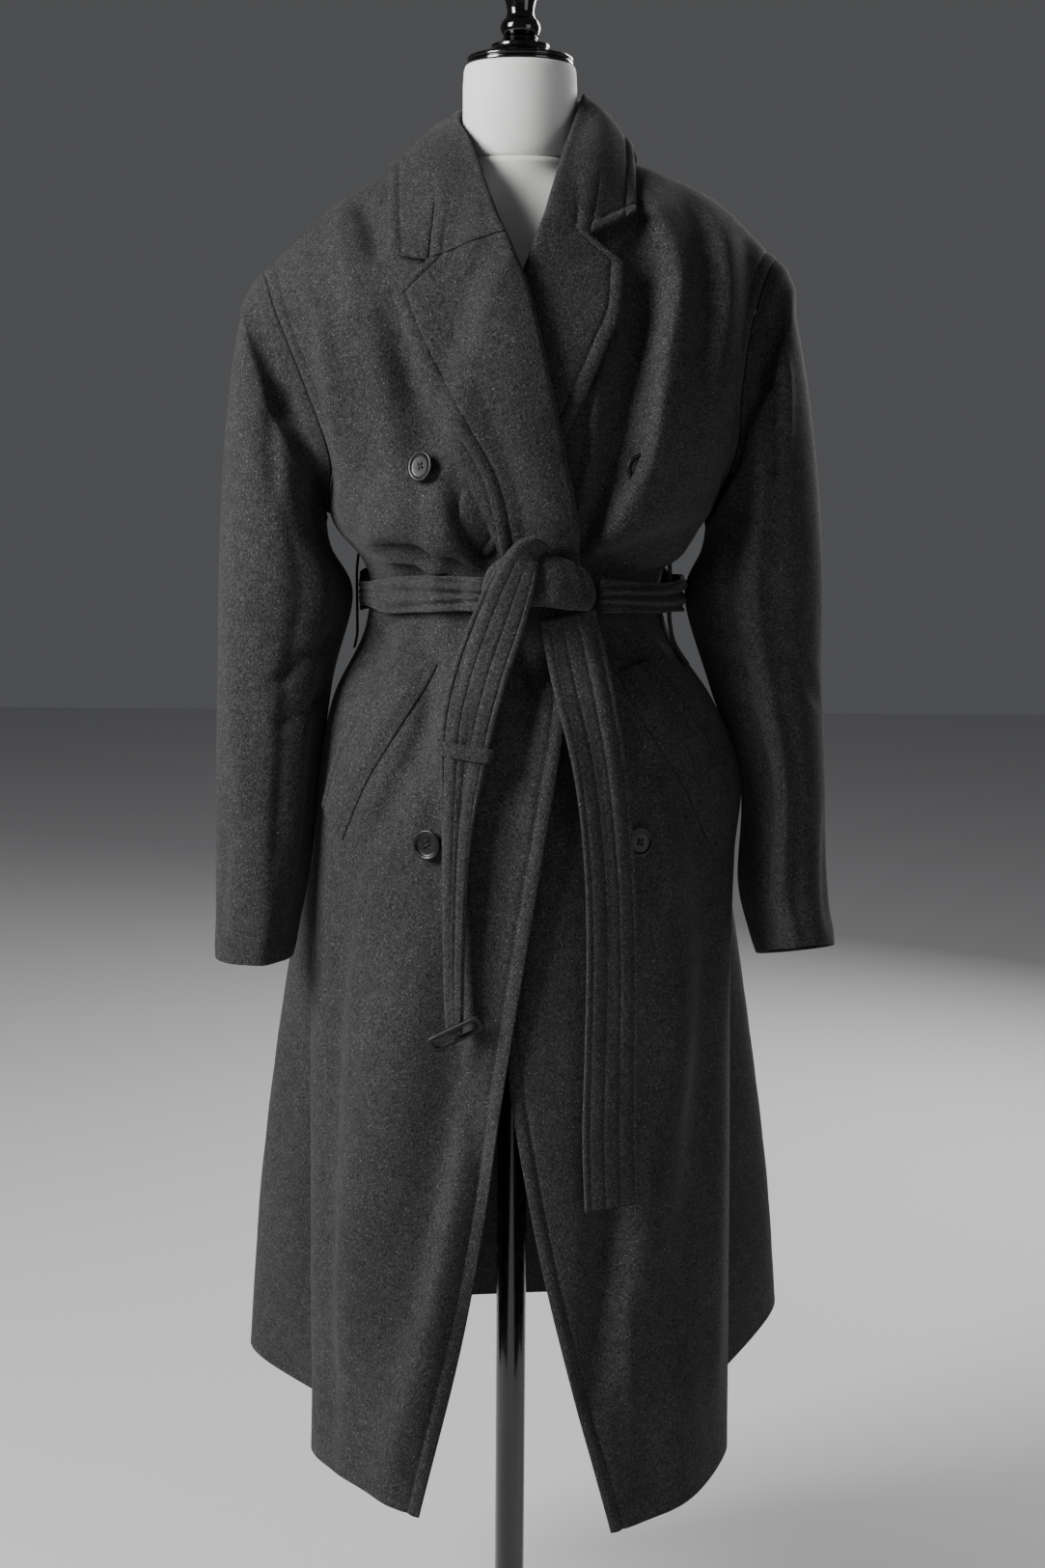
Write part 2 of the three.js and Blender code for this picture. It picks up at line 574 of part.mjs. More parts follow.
const RIGHT_SLEEVE = {
  side: -1,
  gap: 3.4,
  rings: [
    { middle: [-231, 0, 1346], across: 42, deep: 86, outerRise: 95, frontRise: 6 },
    { middle: [-236, 0, 1280], across: 52, deep: 86, outerRise: 52, frontRise: 4 },
    { middle: [-229, -2, 1195], across: 66, deep: 82, outerRise: 12, frontRise: 4 },
    { middle: [-240, -8, 1100], across: 57, deep: 76, outerRise: 2, frontRise: 4 },
    { middle: [-247, -15, 1000], across: 52, deep: 70, outerRise: 0, frontRise: 5 },
    { middle: [-253, -24, 900], across: 46, deep: 64, outerRise: 0, frontRise: 6 },
    { middle: [-261, -32, 821], across: 38, deep: 59, outerRise: 0, frontRise: 4 },
  ],
};
const LEFT_SLEEVE = {
  side: 1,
  gap: 4.4,
  rings: [
    { middle: [230, 0, 1352], across: 42, deep: 86, outerRise: 98, frontRise: 6 },
    { middle: [238, 0, 1284], across: 54, deep: 86, outerRise: 54, frontRise: 4 },
    { middle: [236, -2, 1195], across: 68, deep: 82, outerRise: 12, frontRise: 4 },
    { middle: [250, -2, 1100], across: 56, deep: 75, outerRise: 4, frontRise: 5 },
    { middle: [269, -8, 1000], across: 42, deep: 69, outerRise: 4, frontRise: 8 },
    { middle: [270, -22, 900], across: 44, deep: 63, outerRise: 4, frontRise: 12 },
    { middle: [283, -36, 833], across: 38, deep: 58, outerRise: 4, frontRise: 16 },
  ],
};
const SLEEVE_POINTS = 24;
const SLEEVE_STEPS = 2;       // rows made between two rings
const UNDERARM_OUT = WALL + 1.6; // how far the sleeve starts outside the side seam
const CREASE_ANGLE = 0.19;    // place of the sleeve's front crease, as a part of a turn
const CREASE_DEPTH = 6;

// The armhole, a turn of it from the underarm up the front, over the top and down the back.
// Each half is spread evenly along its length.
const ARMHOLE_SAMPLES = 40;

function armhole(side, turn) {
  const u = side < 0 ? 0 : 1;
  const surface = turn <= 0.5 ? frontSheet : backSheet;
  const line = [...Array(ARMHOLE_SAMPLES + 1).keys()]
    .map((k) => surface(u, mix(REACH[UNDERARM], REACH[TOP], k / ARMHOLE_SAMPLES)));
  const lengths = [0];
  line.slice(1).forEach((p, k) => lengths.push(lengths[k] + p.distanceTo(line[k])));
  const want = lengths[ARMHOLE_SAMPLES] * (turn <= 0.5 ? turn * 2 : 2 - turn * 2);
  const found = lengths.findIndex((length) => length > want);
  const next = found < 1 ? ARMHOLE_SAMPLES : found;
  const part = (want - lengths[next - 1]) / (lengths[next] - lengths[next - 1]);
  return line[next - 1].clone().lerp(line[next], part);
}

function ringPoint(ring, side, turn) {
  const angle = turn * 2 * Math.PI;
  const outward = -Math.cos(angle);
  const forward = Math.sin(angle);
  const crease = CREASE_DEPTH * Math.exp(-(((turn - CREASE_ANGLE) / 0.045) ** 2));
  const [x, y, z] = ring.middle;
  return new THREE.Vector3(
    x + side * (ring.across + crease) * outward,
    y - (ring.deep + crease) * forward,
    z + ring.outerRise * outward + ring.frontRise * forward,
  );
}

function sleeveWall(sleeve) {
  const turns = [...Array(SLEEVE_POINTS).keys()].map((k) => k / SLEEVE_POINTS);
  const knots = [...Array(sleeve.rings.length + 1).keys()];
  const lines = turns.map((turn) => {
    const start = armhole(sleeve.side, turn);
    const under = Math.max(0, Math.cos(turn * 2 * Math.PI)) ** 2;
    start.x += sleeve.side * mix(sleeve.gap, UNDERARM_OUT, under);
    return tableCurve(knots, [start, ...sleeve.rings.map((r) => ringPoint(r, sleeve.side, turn))]);
  });
  const count = sleeve.rings.length * SLEEVE_STEPS;
  const outer = [...Array(count + 1).keys()].map((i) => lines.map((line) => line(i / SLEEVE_STEPS)));
  const inner = outer.map((row, i) => row.map((p, j) => {
    const n = row.length;
    const around = row[(j + 1) % n].clone().sub(row[(j + n - 1) % n]);
    const down = outer[Math.min(i + 1, count)][j].clone().sub(outer[Math.max(i - 1, 0)][j]);
    const normal = around.cross(down).normalize().multiplyScalar(-sleeve.side);
    return p.clone().addScaledVector(normal, -WALL);
  }));
  return wall(outer, inner, true);
}

add('sleeve_right', sleeveWall(RIGHT_SLEEVE), WOOL);
add('sleeve_left', sleeveWall(LEFT_SLEEVE), WOOL);

// ---- belt -----------------------------------------------------------------------------------
// The band goes round the waist from one side of the knot to the other.

const KNOT_FROM = -34;
const KNOT_TO = 76;
const KNOT_OUT = 26;          // how far the band comes forward to the knot
const KNOT_RISE = 10;         // and how far it rises to it

function beltBand() {
  const waist = REACH[7];
  const startU = uAt(KNOT_FROM, waist);
  const endU = uAt(KNOT_TO, waist);
  const steps = (count, point) => [...Array(count + 1).keys()].map((k) => point(k / count));
  const path = [
    ...steps(10, (t) => frontSheet(mix(startU, 0, t), waist)).slice(0, -1),
    ...steps(22, (t) => backSheet(t, waist)).slice(0, -1),
    ...steps(8, (t) => frontSheet(mix(1, endU, t), waist)),
  ];
  const clear = path.map((p) => {
    const lap = p.y < 0 ? lapLift(p.x, waist) : 0;
    const fromKnot = Math.max(KNOT_FROM - p.x, p.x - KNOT_TO);
    const knot = p.y < 0 ? KNOT_OUT * (1 - smooth(0, 46, fromKnot)) : 0;
    return WALL + BELT_LIFT + BELT_WALL + Math.max(lap, knot);
  });
  const grid = (extra) => [-0.5, 0, 0.5].map((h) => path.map((p, i) => {
    const high = mix(BAND_FRONT, BAND_BACK, smooth(-60, 60, p.y));
    const rise = KNOT_RISE * (1 - smooth(-150, -60, p.y));
    const next = path[Math.min(i + 1, path.length - 1)];
    const along = next.clone().sub(path[Math.max(i - 1, 0)]);
    const out = new THREE.Vector3(along.y, -along.x, 0).normalize();
    if (out.dot(p) < 0) out.negate();
    const q = p.clone().addScaledVector(out, clear[i] + extra);
    q.z = BELT_HEIGHT + rise + h * high;
    return q;
  }));
  return wall(grid(BELT_WALL), grid(0));
}

add('belt_band', beltBand(), WOOL);

// The knot: a rounded roll across the front, through ovals along x.
const KNOT_ROWS = [
  { x: -32, y: -158, z: 1194, high: 12, deep: 5 },
  { x: -22, y: -160, z: 1201, high: 21, deep: 8 },
  { x: 0, y: -164, z: 1208, high: 25, deep: 10 },
  { x: 30, y: -171, z: 1209, high: 25, deep: 13 },
  { x: 56, y: -167, z: 1203, high: 22, deep: 11 },
  { x: 74, y: -160, z: 1194, high: 15, deep: 7 },
];
const KNOT_POINTS = 16;
add('belt_knot', loft(KNOT_ROWS.map((row) => [...Array(KNOT_POINTS).keys()].map((k) => {
  const angle = (k / KNOT_POINTS) * 2 * Math.PI;
  return new THREE.Vector3(row.x, row.y + row.deep * Math.cos(angle), row.z + row.high * Math.sin(angle));
}))), WOOL);

// A flat strip that hangs over the front. A row gives the middle of the strip as [x, z] seen
// from the front, its half width, and how far its back stands off the front sheet.
function strip(rows, thickness, steps) {
  const knots = rows.map((_, i) => i);
  const x = tableCurve(knots, rows.map((row) => row.at[0]));
  const z = tableCurve(knots, rows.map((row) => row.at[1]));
  const half = tableCurve(knots, rows.map((row) => row.half));
  const off = tableCurve(knots, rows.map((row) => row.off));
  const count = (rows.length - 1) * steps;
  const grid = (extra) => [...Array(count + 1).keys()].map((i) => {
    const k = i / steps;
    const dx = x(k + 0.01) - x(k - 0.01);
    const dz = z(k + 0.01) - z(k - 0.01);
    const length = Math.hypot(dx, dz);
    return [-1, 0, 1].map((side) => {
      const px = x(k) + (side * half(k) * -dz) / length;
      const pz = z(k) + (side * half(k) * dx) / length;
      const place = frontAt(px, pz);
      const p = frontSheet(place.u, place.reach);
      return new THREE.Vector3(px, p.y - off(k) - extra, pz);
    });
  });
  return wall(grid(thickness), grid(0));
}

const BUCKLE_TAIL = [
  { at: [8, 1231], half: 15, off: 57 },
  { at: [-3, 1206], half: 21, off: 64 },
  { at: [-16, 1169], half: 25, off: 49 },
  { at: [-32, 1121], half: 26, off: 35 },
  { at: [-43, 1076], half: 25, off: 29 },
  { at: [-48, 1032], half: 21, off: 24 },
  { at: [-53, 968], half: 14, off: 22 },
  { at: [-55, 886], half: 11, off: 20 },
  { at: [-55, 806], half: 9, off: 18 },
];
const FREE_TAIL = [
  { at: [48, 1176], half: 26, off: 41 },
  { at: [61, 1121], half: 28, off: 33 },
  { at: [80, 1032], half: 25, off: 24 },
  { at: [90, 941], half: 24, off: 20 },
  { at: [94, 849], half: 25, off: 17 },
  { at: [94, 756], half: 26, off: 15 },
  { at: [94, 681], half: 27, off: 14 },
  { at: [97, 610], half: 27, off: 13 },
];
const BUCKLE_TAIL_WALL = 7;   // the buckle tail is folded lengthways
add('belt_tail_buckle', strip(BUCKLE_TAIL, BUCKLE_TAIL_WALL, 2), WOOL);
add('belt_tail_free', strip(FREE_TAIL, BELT_WALL, 2), WOOL);

// The cloth keeper: a flat ring round the buckle tail, from one place along it to another.
const KEEPER = { from: 4.46, to: 4.78, spare: 1.6, thick: 1.8 };

function keeperRing() {
  const section = (k, grow) => {
    const i = Math.floor(k);
    const [a, b] = [BUCKLE_TAIL[i], BUCKLE_TAIL[i + 1]];
    const [x, z, half, off] = [[a.at[0], b.at[0]], [a.at[1], b.at[1]], [a.half, b.half], [a.off, b.off]]
      .map(([start, end]) => mix(start, end, k - i));
    const point = (side, behind) => {
      const px = x + side * (half + grow);
      const place = frontAt(px, z);
      const p = frontSheet(place.u, place.reach);
      return new THREE.Vector3(px, p.y - off + (behind ? grow : -grow - BUCKLE_TAIL_WALL), z);
    };
    return [[-1, true], [0, true], [1, true], [1, false], [0, false], [-1, false]]
      .map(([side, behind]) => point(side, behind));
  };
  const places = [KEEPER.from, KEEPER.to];
  return wall(places.map((k) => section(k, KEEPER.spare + KEEPER.thick)),
    places.map((k) => section(k, KEEPER.spare)), true);
}
add('belt_keeper', keeperRing(), WOOL);

// The buckle: a rectangular frame with a middle bar, hanging askew at the end of its tail.
const BUCKLE_SIZE = { wide: 56, high: 21, rim: 4.5, bar: 4, thick: 4, tilt: 0.4 };
const BUCKLE_PLACE = { at: [-53, 784], off: 21 };

function boxSolid(width, depth, height, x) {
  const box = new THREE.BoxGeometry(width, depth, height);
  box.translate(x, 0, 0);
  box.deleteAttribute('normal');
  box.deleteAttribute('uv');
  const merged = mergeVertices(box);
  return new wasm.Manifold(new wasm.Mesh({
    numProp: 3,
    vertProperties: merged.attributes.position.array,
    triVerts: new Uint32Array(merged.index.array),
  }));
}

function buckleFrame() {
  const { wide, high, rim, bar, thick, tilt } = BUCKLE_SIZE;
  const hole = wide / 2 - rim - bar / 2;
  const cuts = [-1, 1].map((side) => {
    return boxSolid(hole, thick * 2, high - rim * 2, side * (bar + hole) / 2);
  });
  const mesh = boxSolid(wide, thick, high, 0).subtract(cuts[0]).subtract(cuts[1]).getMesh();
  const geometry = new THREE.BufferGeometry();
  geometry.setAttribute('position', new THREE.BufferAttribute(mesh.vertProperties, 3));
  geometry.setIndex([...mesh.triVerts]);
  geometry.rotateY(-tilt);
  const [x, z] = BUCKLE_PLACE.at;
  const place = frontAt(x, z);
  geometry.translate(x, frontSheet(place.u, place.reach).y - BUCKLE_PLACE.off, z);
  geometry.computeVertexNormals();
  return geometry;
}
add('buckle', buckleFrame(), BUCKLE);

// ---- buttons --------------------------------------------------------------------------------

const BUTTONS = {
  button_top_right: { at: [-84, 1310], shank: 5.5 },
  button_top_left: { at: [112, 1311], shank: 4 },
  button_low_right: { at: [-78, 958], shank: 4 },
  button_low_left: { at: [116, 960], shank: 3 },
};

function buttonAt({ at, shank }) {
  const place = frontAt(...at);
  const lift = at[0] < 0 ? rightLift : noLift;
  const cloth = (u, reach) => frontPoint(u, reach, WALL + lift(u, reach));
  const along = cloth(place.u + 0.015, place.reach).sub(cloth(place.u - 0.015, place.reach));
  const up = cloth(place.u, place.reach + 8).sub(cloth(place.u, place.reach - 8));
  const normal = along.cross(up).normalize();
  const seat = cloth(place.u, place.reach).addScaledVector(normal, shank);
  const rim = BUTTON_RADIUS;
  const geometry = turned([
    [0, 0], [rim - 3, 0], [rim, 2], [rim - 0.6, BUTTON_HEIGHT - 0.4], [rim - 2, BUTTON_HEIGHT],
    [rim - 3.6, BUTTON_HEIGHT - 1.4], [0, BUTTON_HEIGHT - 1.6],
  ], 20);
  geometry.applyQuaternion(new THREE.Quaternion().setFromUnitVectors(new THREE.Vector3(0, 0, 1), normal));
  geometry.translate(seat.x, seat.y, seat.z);
  return geometry;
}

// A body of revolution on the z axis from a profile of [radius, height].
function turned(profile, segments) {
  const points = profile.map(([r, z]) => new THREE.Vector2(r, z));
  const geometry = new THREE.LatheGeometry(points, segments);
  geometry.rotateX(Math.PI / 2);
  return geometry;
}

for (const [name, button] of Object.entries(BUTTONS)) add(name, buttonAt(button), BUTTON);

// ---- welt pockets ---------------------------------------------------------------------------
// Each welt is a slanted strip on a front, made from its points moved out.

const WELT_RIGHT = [
  { outer: [-106, 1136], inner: [-71, 1123] },
  { outer: [-143, 1084], inner: [-107, 1066] },
  { outer: [-170, 1030], inner: [-140, 1010] },
  { outer: [-184, 980], inner: [-165, 950] },
];
const WELT_LEFT = [
  { outer: [124, 1128], inner: [96, 1118] },
  { outer: [156, 1086], inner: [126, 1064] },
  { outer: [186, 1040], inner: [160, 1008] },
  { outer: [203, 990], inner: [186, 952] },
];
const WELT_OFF = 5.8;
const WELT_WALL = 2;
const WELT_STEPS = 3;         // rows made between two rows of the table

function weltWall(rows, lift) {
  const knots = rows.map((_, i) => i);
  const line = (key, axis) => tableCurve(knots, rows.map((row) => row[key][axis]));
  const [outerX, outerZ, innerX, innerZ] = [line('outer', 0), line('outer', 1), line('inner', 0),
    line('inner', 1)];
  const count = (rows.length - 1) * WELT_STEPS;
  const grid = (extra) => [...Array(count + 1).keys()].map((i) => {
    const k = i / WELT_STEPS;
    const a = frontAt(outerX(k), outerZ(k));
    const b = frontAt(innerX(k), innerZ(k));
    return [0, 0.25, 0.5, 0.75, 1].map((t) => {
      const [u, reach] = [mix(a.u, b.u, t), mix(a.reach, b.reach, t)];
      return frontPoint(u, reach, lift(u, reach) + WALL + WELT_OFF + extra);
    });
  });
  return wall(grid(WELT_WALL), grid(0));
}
add('welt_right', weltWall(WELT_RIGHT, rightLift), WOOL);
add('welt_left', weltWall(WELT_LEFT, noLift), WOOL);

// ---- belt loops -----------------------------------------------------------------------------
// A narrow loop of cloth at each side, from above the belt to below it, outside the band. u is
// its place on the front sheet, and out is how far its back stands off the waist at each height.

const LOOPS = {
  belt_loop_right: { u: 0.03, rows: [
    { z: 1224, out: 14 }, { z: 1210, out: 15.4 }, { z: 1188, out: 15.6 }, { z: 1160, out: 15.4 },
    { z: 1144, out: 15.6 }, { z: 1130, out: 18.5 },
  ] },
  belt_loop_left: { u: 0.85, rows: [
    { z: 1220, out: 15 }, { z: 1210, out: 15.6 }, { z: 1188, out: 15.6 }, { z: 1160, out: 16.5 },
    { z: 1142, out: 21 }, { z: 1120, out: 36 },
  ] },
};
const LOOP_HALF = 4.5;
const LOOP_WALL = 2;

function beltLoop({ u, rows }) {
  const waist = frontSheet(u, REACH[7]);
  const aside = frontSheet(u + 0.01, REACH[7]).sub(frontSheet(u - 0.01, REACH[7]));
  aside.setZ(0).normalize();
  const outward = new THREE.Vector3(aside.y, -aside.x, 0);
  const grid = (extra) => rows.map(({ z, out }) => [-1, 1].map((w) => {
    const p = waist.clone().addScaledVector(outward, out + extra);
    return p.addScaledVector(aside, w * LOOP_HALF).setZ(z);
  }));
  return wall(grid(LOOP_WALL), grid(0));
}
for (const [name, loop] of Object.entries(LOOPS)) add(name, beltLoop(loop), WOOL);

// ---- form -----------------------------------------------------------------------------------
// The torso's rings: half width, front and back depth, and how square the corners are.

const TORSO_ROWS = [
  { z: TORSO_BOTTOM, half: 158, front: 96, back: 104, square: 2.1 },
  { z: 1000, half: 164, front: 102, back: 112, square: 2.1 },
  { z: 1060, half: 156, front: 98, back: 102, square: 2.1 },
  { z: 1125, half: 130, front: 90, back: 84, square: 2.1 },
  { z: 1188, half: 116, front: 86, back: 74, square: 2.1 },
  { z: 1250, half: 126, front: 96, back: 82, square: 2.2 },
  { z: 1320, half: 144, front: 120, back: 96, square: 2.3 },
  { z: 1380, half: 154, front: 130, back: 104, square: 2.4 },
  { z: 1440, half: 162, front: 116, back: 102, square: 2.4 },
  { z: 1490, half: 168, front: 96, back: 90, square: 2.4 },
  { z: 1522, half: 160, front: 76, back: 72, square: 2.3 },
  { z: 1548, half: 130, front: 62, back: 60, square: 2.2 },
  { z: 1572, half: 90, front: 54, back: 54, square: 2.1 },
  { z: 1590, half: 60, front: 53, back: 53, square: 2 },
  { z: 1602, half: NECK_RADIUS, front: NECK_RADIUS, back: NECK_RADIUS, square: 2 },
];
const RING_POINTS = 28;

function ovalRing(row) {
  return [...Array(RING_POINTS).keys()].map((k) => {
    const angle = (k / RING_POINTS) * 2 * Math.PI;
    const c = Math.cos(angle);
    const s = Math.sin(angle);
    const power = 2 / row.square;
    const depth = s > 0 ? row.back : row.front;
    return new THREE.Vector3(
      row.half * Math.sign(c) * Math.abs(c) ** power,
      depth * Math.sign(s) * Math.abs(s) ** power,
      row.z,
    );
  });
}

add('form_torso', loft(TORSO_ROWS.map(ovalRing)), FORM);

add('form_neck', turned([
  [0, NECK_BOTTOM], [NECK_RADIUS - 1, NECK_BOTTOM], [NECK_RADIUS + 1, 1630],
  [NECK_RADIUS + 1, 1660], [NECK_RADIUS, NECK_TOP - 7], [NECK_RADIUS - 3, NECK_TOP],
  [0, NECK_TOP],
], 32), FORM);

add('neck_cap', turned([
  [0, 1692.4], [51, 1692.4], [51, 1698], [49, 1700], [29, 1706], [28, 1711], [20, 1714],
  [17, 1718], [0, 1718],
], 32), CHROME);

add('finial', turned([
  [0, 1718.4], [15, 1718.4], [19, 1724], [19, 1730], [15, 1735], [13, 1742], [17, 1758],
  [19, 1770], [16, 1784], [8, 1793], [0, 1795],
], 24), CHROME);

add('pole', turned([
  [0, BASE_HEIGHT + 0.4], [POLE_RADIUS, BASE_HEIGHT + 0.4], [POLE_RADIUS, TORSO_BOTTOM - 0.4],
  [0, TORSO_BOTTOM - 0.4],
], 24), BLACK_STEEL);

add('base', turned([
  [0, 0], [BASE_RADIUS - 2, 0], [BASE_RADIUS, 3], [BASE_RADIUS, 8], [BASE_RADIUS - 6, 12],
  [40, 16], [26, BASE_HEIGHT], [0, BASE_HEIGHT],
], 48), BLACK_STEEL);

export default coat;
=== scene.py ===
"""A belted, double-breasted wool trench coat on a limbless dress form.

Lengths in the tables and in the shaping functions are millimetres. +Z is up, the front of the
coat faces -Y and the wearer's right side is at -X. Meshes are made in metres.
"""
import math
import bpy
import numpy as np
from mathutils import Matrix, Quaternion, Vector


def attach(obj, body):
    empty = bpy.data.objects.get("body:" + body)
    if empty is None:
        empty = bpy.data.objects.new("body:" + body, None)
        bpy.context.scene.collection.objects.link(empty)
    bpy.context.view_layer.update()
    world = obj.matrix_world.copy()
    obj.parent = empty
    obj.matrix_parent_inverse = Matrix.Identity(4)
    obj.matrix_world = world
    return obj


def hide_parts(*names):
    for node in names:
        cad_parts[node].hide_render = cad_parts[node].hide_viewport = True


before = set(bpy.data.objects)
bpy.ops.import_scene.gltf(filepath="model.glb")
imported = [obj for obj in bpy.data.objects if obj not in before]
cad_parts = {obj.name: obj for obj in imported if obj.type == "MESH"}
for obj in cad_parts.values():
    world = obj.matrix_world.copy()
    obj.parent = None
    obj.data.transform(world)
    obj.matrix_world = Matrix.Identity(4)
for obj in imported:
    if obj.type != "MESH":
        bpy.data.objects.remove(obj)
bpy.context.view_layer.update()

MM = 0.001

# ---- driving dimensions -----------------------------------------------------------------------

WALL = 2.4              # thickness of the wool cloth
SEAM = 0.3              # gap between two pieces that are sewn together
HALF_GAP = SEAM / 2 + 0.2
LAPEL_WALL = 4.0
LAPEL_LIFT = 4.6
LAP_LIFT = 14.5
BELT_WALL = 4.0
BAND_BACK = 46.0        # height of the folded belt at the back
BAND_FRONT = 32.0       # and in front
BELT_HEIGHT = 1187.0    # middle of the band
KNOT_RISE = 10.0        # how far the band rises to the knot
BELT_LIFT = 3.0
NECK_DIP = 34.0
BUTTON_RADIUS = 14.5
BUTTON_HEIGHT = 4.5
NECK_RADIUS = 54.0
NECK_BOTTOM = 1603.0
NECK_TOP = 1692.0
POLE_RADIUS = 15.5
TORSO_BOTTOM = 938.0
BASE_RADIUS = 185.0
BASE_HEIGHT = 22.0

STITCH_IN = 13.0        # topstitching, from a finished edge
STITCH_LENGTH = 4.2
GROOVE_DEPTH = 1.25     # how far the topstitching pulls the cloth in
GROOVE_WIDTH = 2.3
PUFF = 1.3              # how far the edge outside the topstitching swells
NO_STITCH = 60.0        # distance given to cloth that has no topstitching near it

# ---- tables -----------------------------------------------------------------------------------
# A row of the front or back gives points [x, y, z] of the cloth at one reach, the distance up
# the cloth. A fold goes from one [x, z] to another; depth below 0 is a trough.

FRONT_ROWS = [
    {"name": "hem", "reach": 300, "seam_r": (-170, 12, 312), "ridge_r": (-203, -62, 309),
     "mid_r": (-140, -146, 304), "centre": (0, -194, 274), "mid_l": (150, -150, 284),
     "ridge_l": (221, -62, 313), "seam_l": (188, 14, 316)},
    {"name": "knee", "reach": 560, "seam_r": (-172, 8, 562), "ridge_r": (-202, -58, 560),
     "mid_r": (-130, -142, 560), "centre": (0, -184, 556), "mid_l": (140, -144, 558),
     "ridge_l": (217, -56, 560), "seam_l": (186, 10, 562)},
    {"name": "thigh", "reach": 790, "seam_r": (-176, 4, 790), "ridge_r": (-199, -54, 790),
     "mid_r": (-124, -138, 790), "centre": (0, -176, 788), "mid_l": (132, -138, 790),
     "ridge_l": (213, -50, 790), "seam_l": (190, 6, 790)},
    {"name": "seat", "reach": 930, "seam_r": (-180, 2, 930), "ridge_r": (-194, -48, 930),
     "mid_r": (-118, -134, 930), "centre": (0, -168, 929), "mid_l": (128, -132, 930),
     "ridge_l": (215, -44, 930), "seam_l": (196, 6, 930)},
    {"name": "hip", "reach": 1020, "seam_r": (-178, 2, 1020), "ridge_r": (-187, -44, 1020),
     "mid_r": (-112, -130, 1020), "centre": (0, -158, 1019), "mid_l": (124, -128, 1020),
     "ridge_l": (217, -42, 1020), "seam_l": (200, 8, 1020)},
    {"name": "high hip", "reach": 1085, "seam_r": (-168, 4, 1085), "ridge_r": (-174, -42, 1085),
     "mid_r": (-106, -122, 1085), "centre": (0, -146, 1085), "mid_l": (112, -124, 1085),
     "ridge_l": (188, -46, 1085), "seam_l": (180, 8, 1085)},
    {"name": "under the belt", "reach": 1156, "seam_r": (-146, 6, 1156), "ridge_r": (-139, -42, 1156),
     "mid_r": (-90, -102, 1156), "centre": (0, -123, 1156), "mid_l": (91, -102, 1156),
     "ridge_l": (140, -42, 1156), "seam_l": (146, 8, 1156)},
    {"name": "waist", "reach": 1188, "seam_r": (-142, 6, 1188), "ridge_r": (-134, -44, 1188),
     "mid_r": (-86, -100, 1188), "centre": (0, -120, 1188), "mid_l": (86, -100, 1188),
     "ridge_l": (132, -44, 1188), "seam_l": (140, 8, 1188)},
    {"name": "over the belt", "reach": 1220, "seam_r": (-148, 5, 1218), "ridge_r": (-141, -48, 1218),
     "mid_r": (-91, -105, 1218), "centre": (0, -124, 1219), "mid_l": (92, -104, 1218),
     "ridge_l": (138, -49, 1218), "seam_l": (146, 8, 1218)},
    {"name": "underarm", "reach": 1262, "seam_r": (-180, 2, 1262), "ridge_r": (-168, -66, 1256),
     "mid_r": (-106, -134, 1256), "centre": (0, -140, 1258), "mid_l": (112, -130, 1256),
     "ridge_l": (172, -68, 1252), "seam_l": (180, 8, 1258)},
    {"name": "low chest", "reach": 1316, "seam_r": (-176, -66, 1312), "ridge_r": (-150, -106, 1310),
     "mid_r": (-92, -142, 1310), "centre": (0, -148, 1310), "mid_l": (104, -140, 1310),
     "ridge_l": (168, -104, 1312), "seam_l": (206, -66, 1318)},
    {"name": "chest", "reach": 1390, "seam_r": (-199, -76, 1382), "ridge_r": (-158, -112, 1384),
     "mid_r": (-88, -142, 1388), "centre": (0, -150, 1392), "mid_l": (92, -142, 1388),
     "ridge_l": (172, -110, 1386), "seam_l": (212, -75, 1386)},
    {"name": "upper chest", "reach": 1470, "seam_r": (-228, -52, 1448), "ridge_r": (-176, -90, 1458),
     "mid_r": (-90, -118, 1470), "centre": (0, -124, 1482), "mid_l": (94, -116, 1474),
     "ridge_l": (184, -86, 1464), "seam_l": (222, -60, 1448)},
    {"name": "yoke", "reach": 1550, "seam_r": (-242, -24, 1484), "ridge_r": (-184, -46, 1520),
     "mid_r": (-90, -76, 1550), "centre": (0, -94, 1562), "mid_l": (94, -74, 1556),
     "ridge_l": (192, -46, 1528), "seam_l": (240, -30, 1498)},
    {"name": "shoulder", "reach": 1625, "seam_r": (-248, 4, 1494), "ridge_r": (-170, 4, 1564),
     "mid_r": (-74, 2, 1608), "centre": (0, 44, 1612), "mid_l": (74, 2, 1609),
     "ridge_l": (176, 4, 1569), "seam_l": (251, 4, 1510)},
]

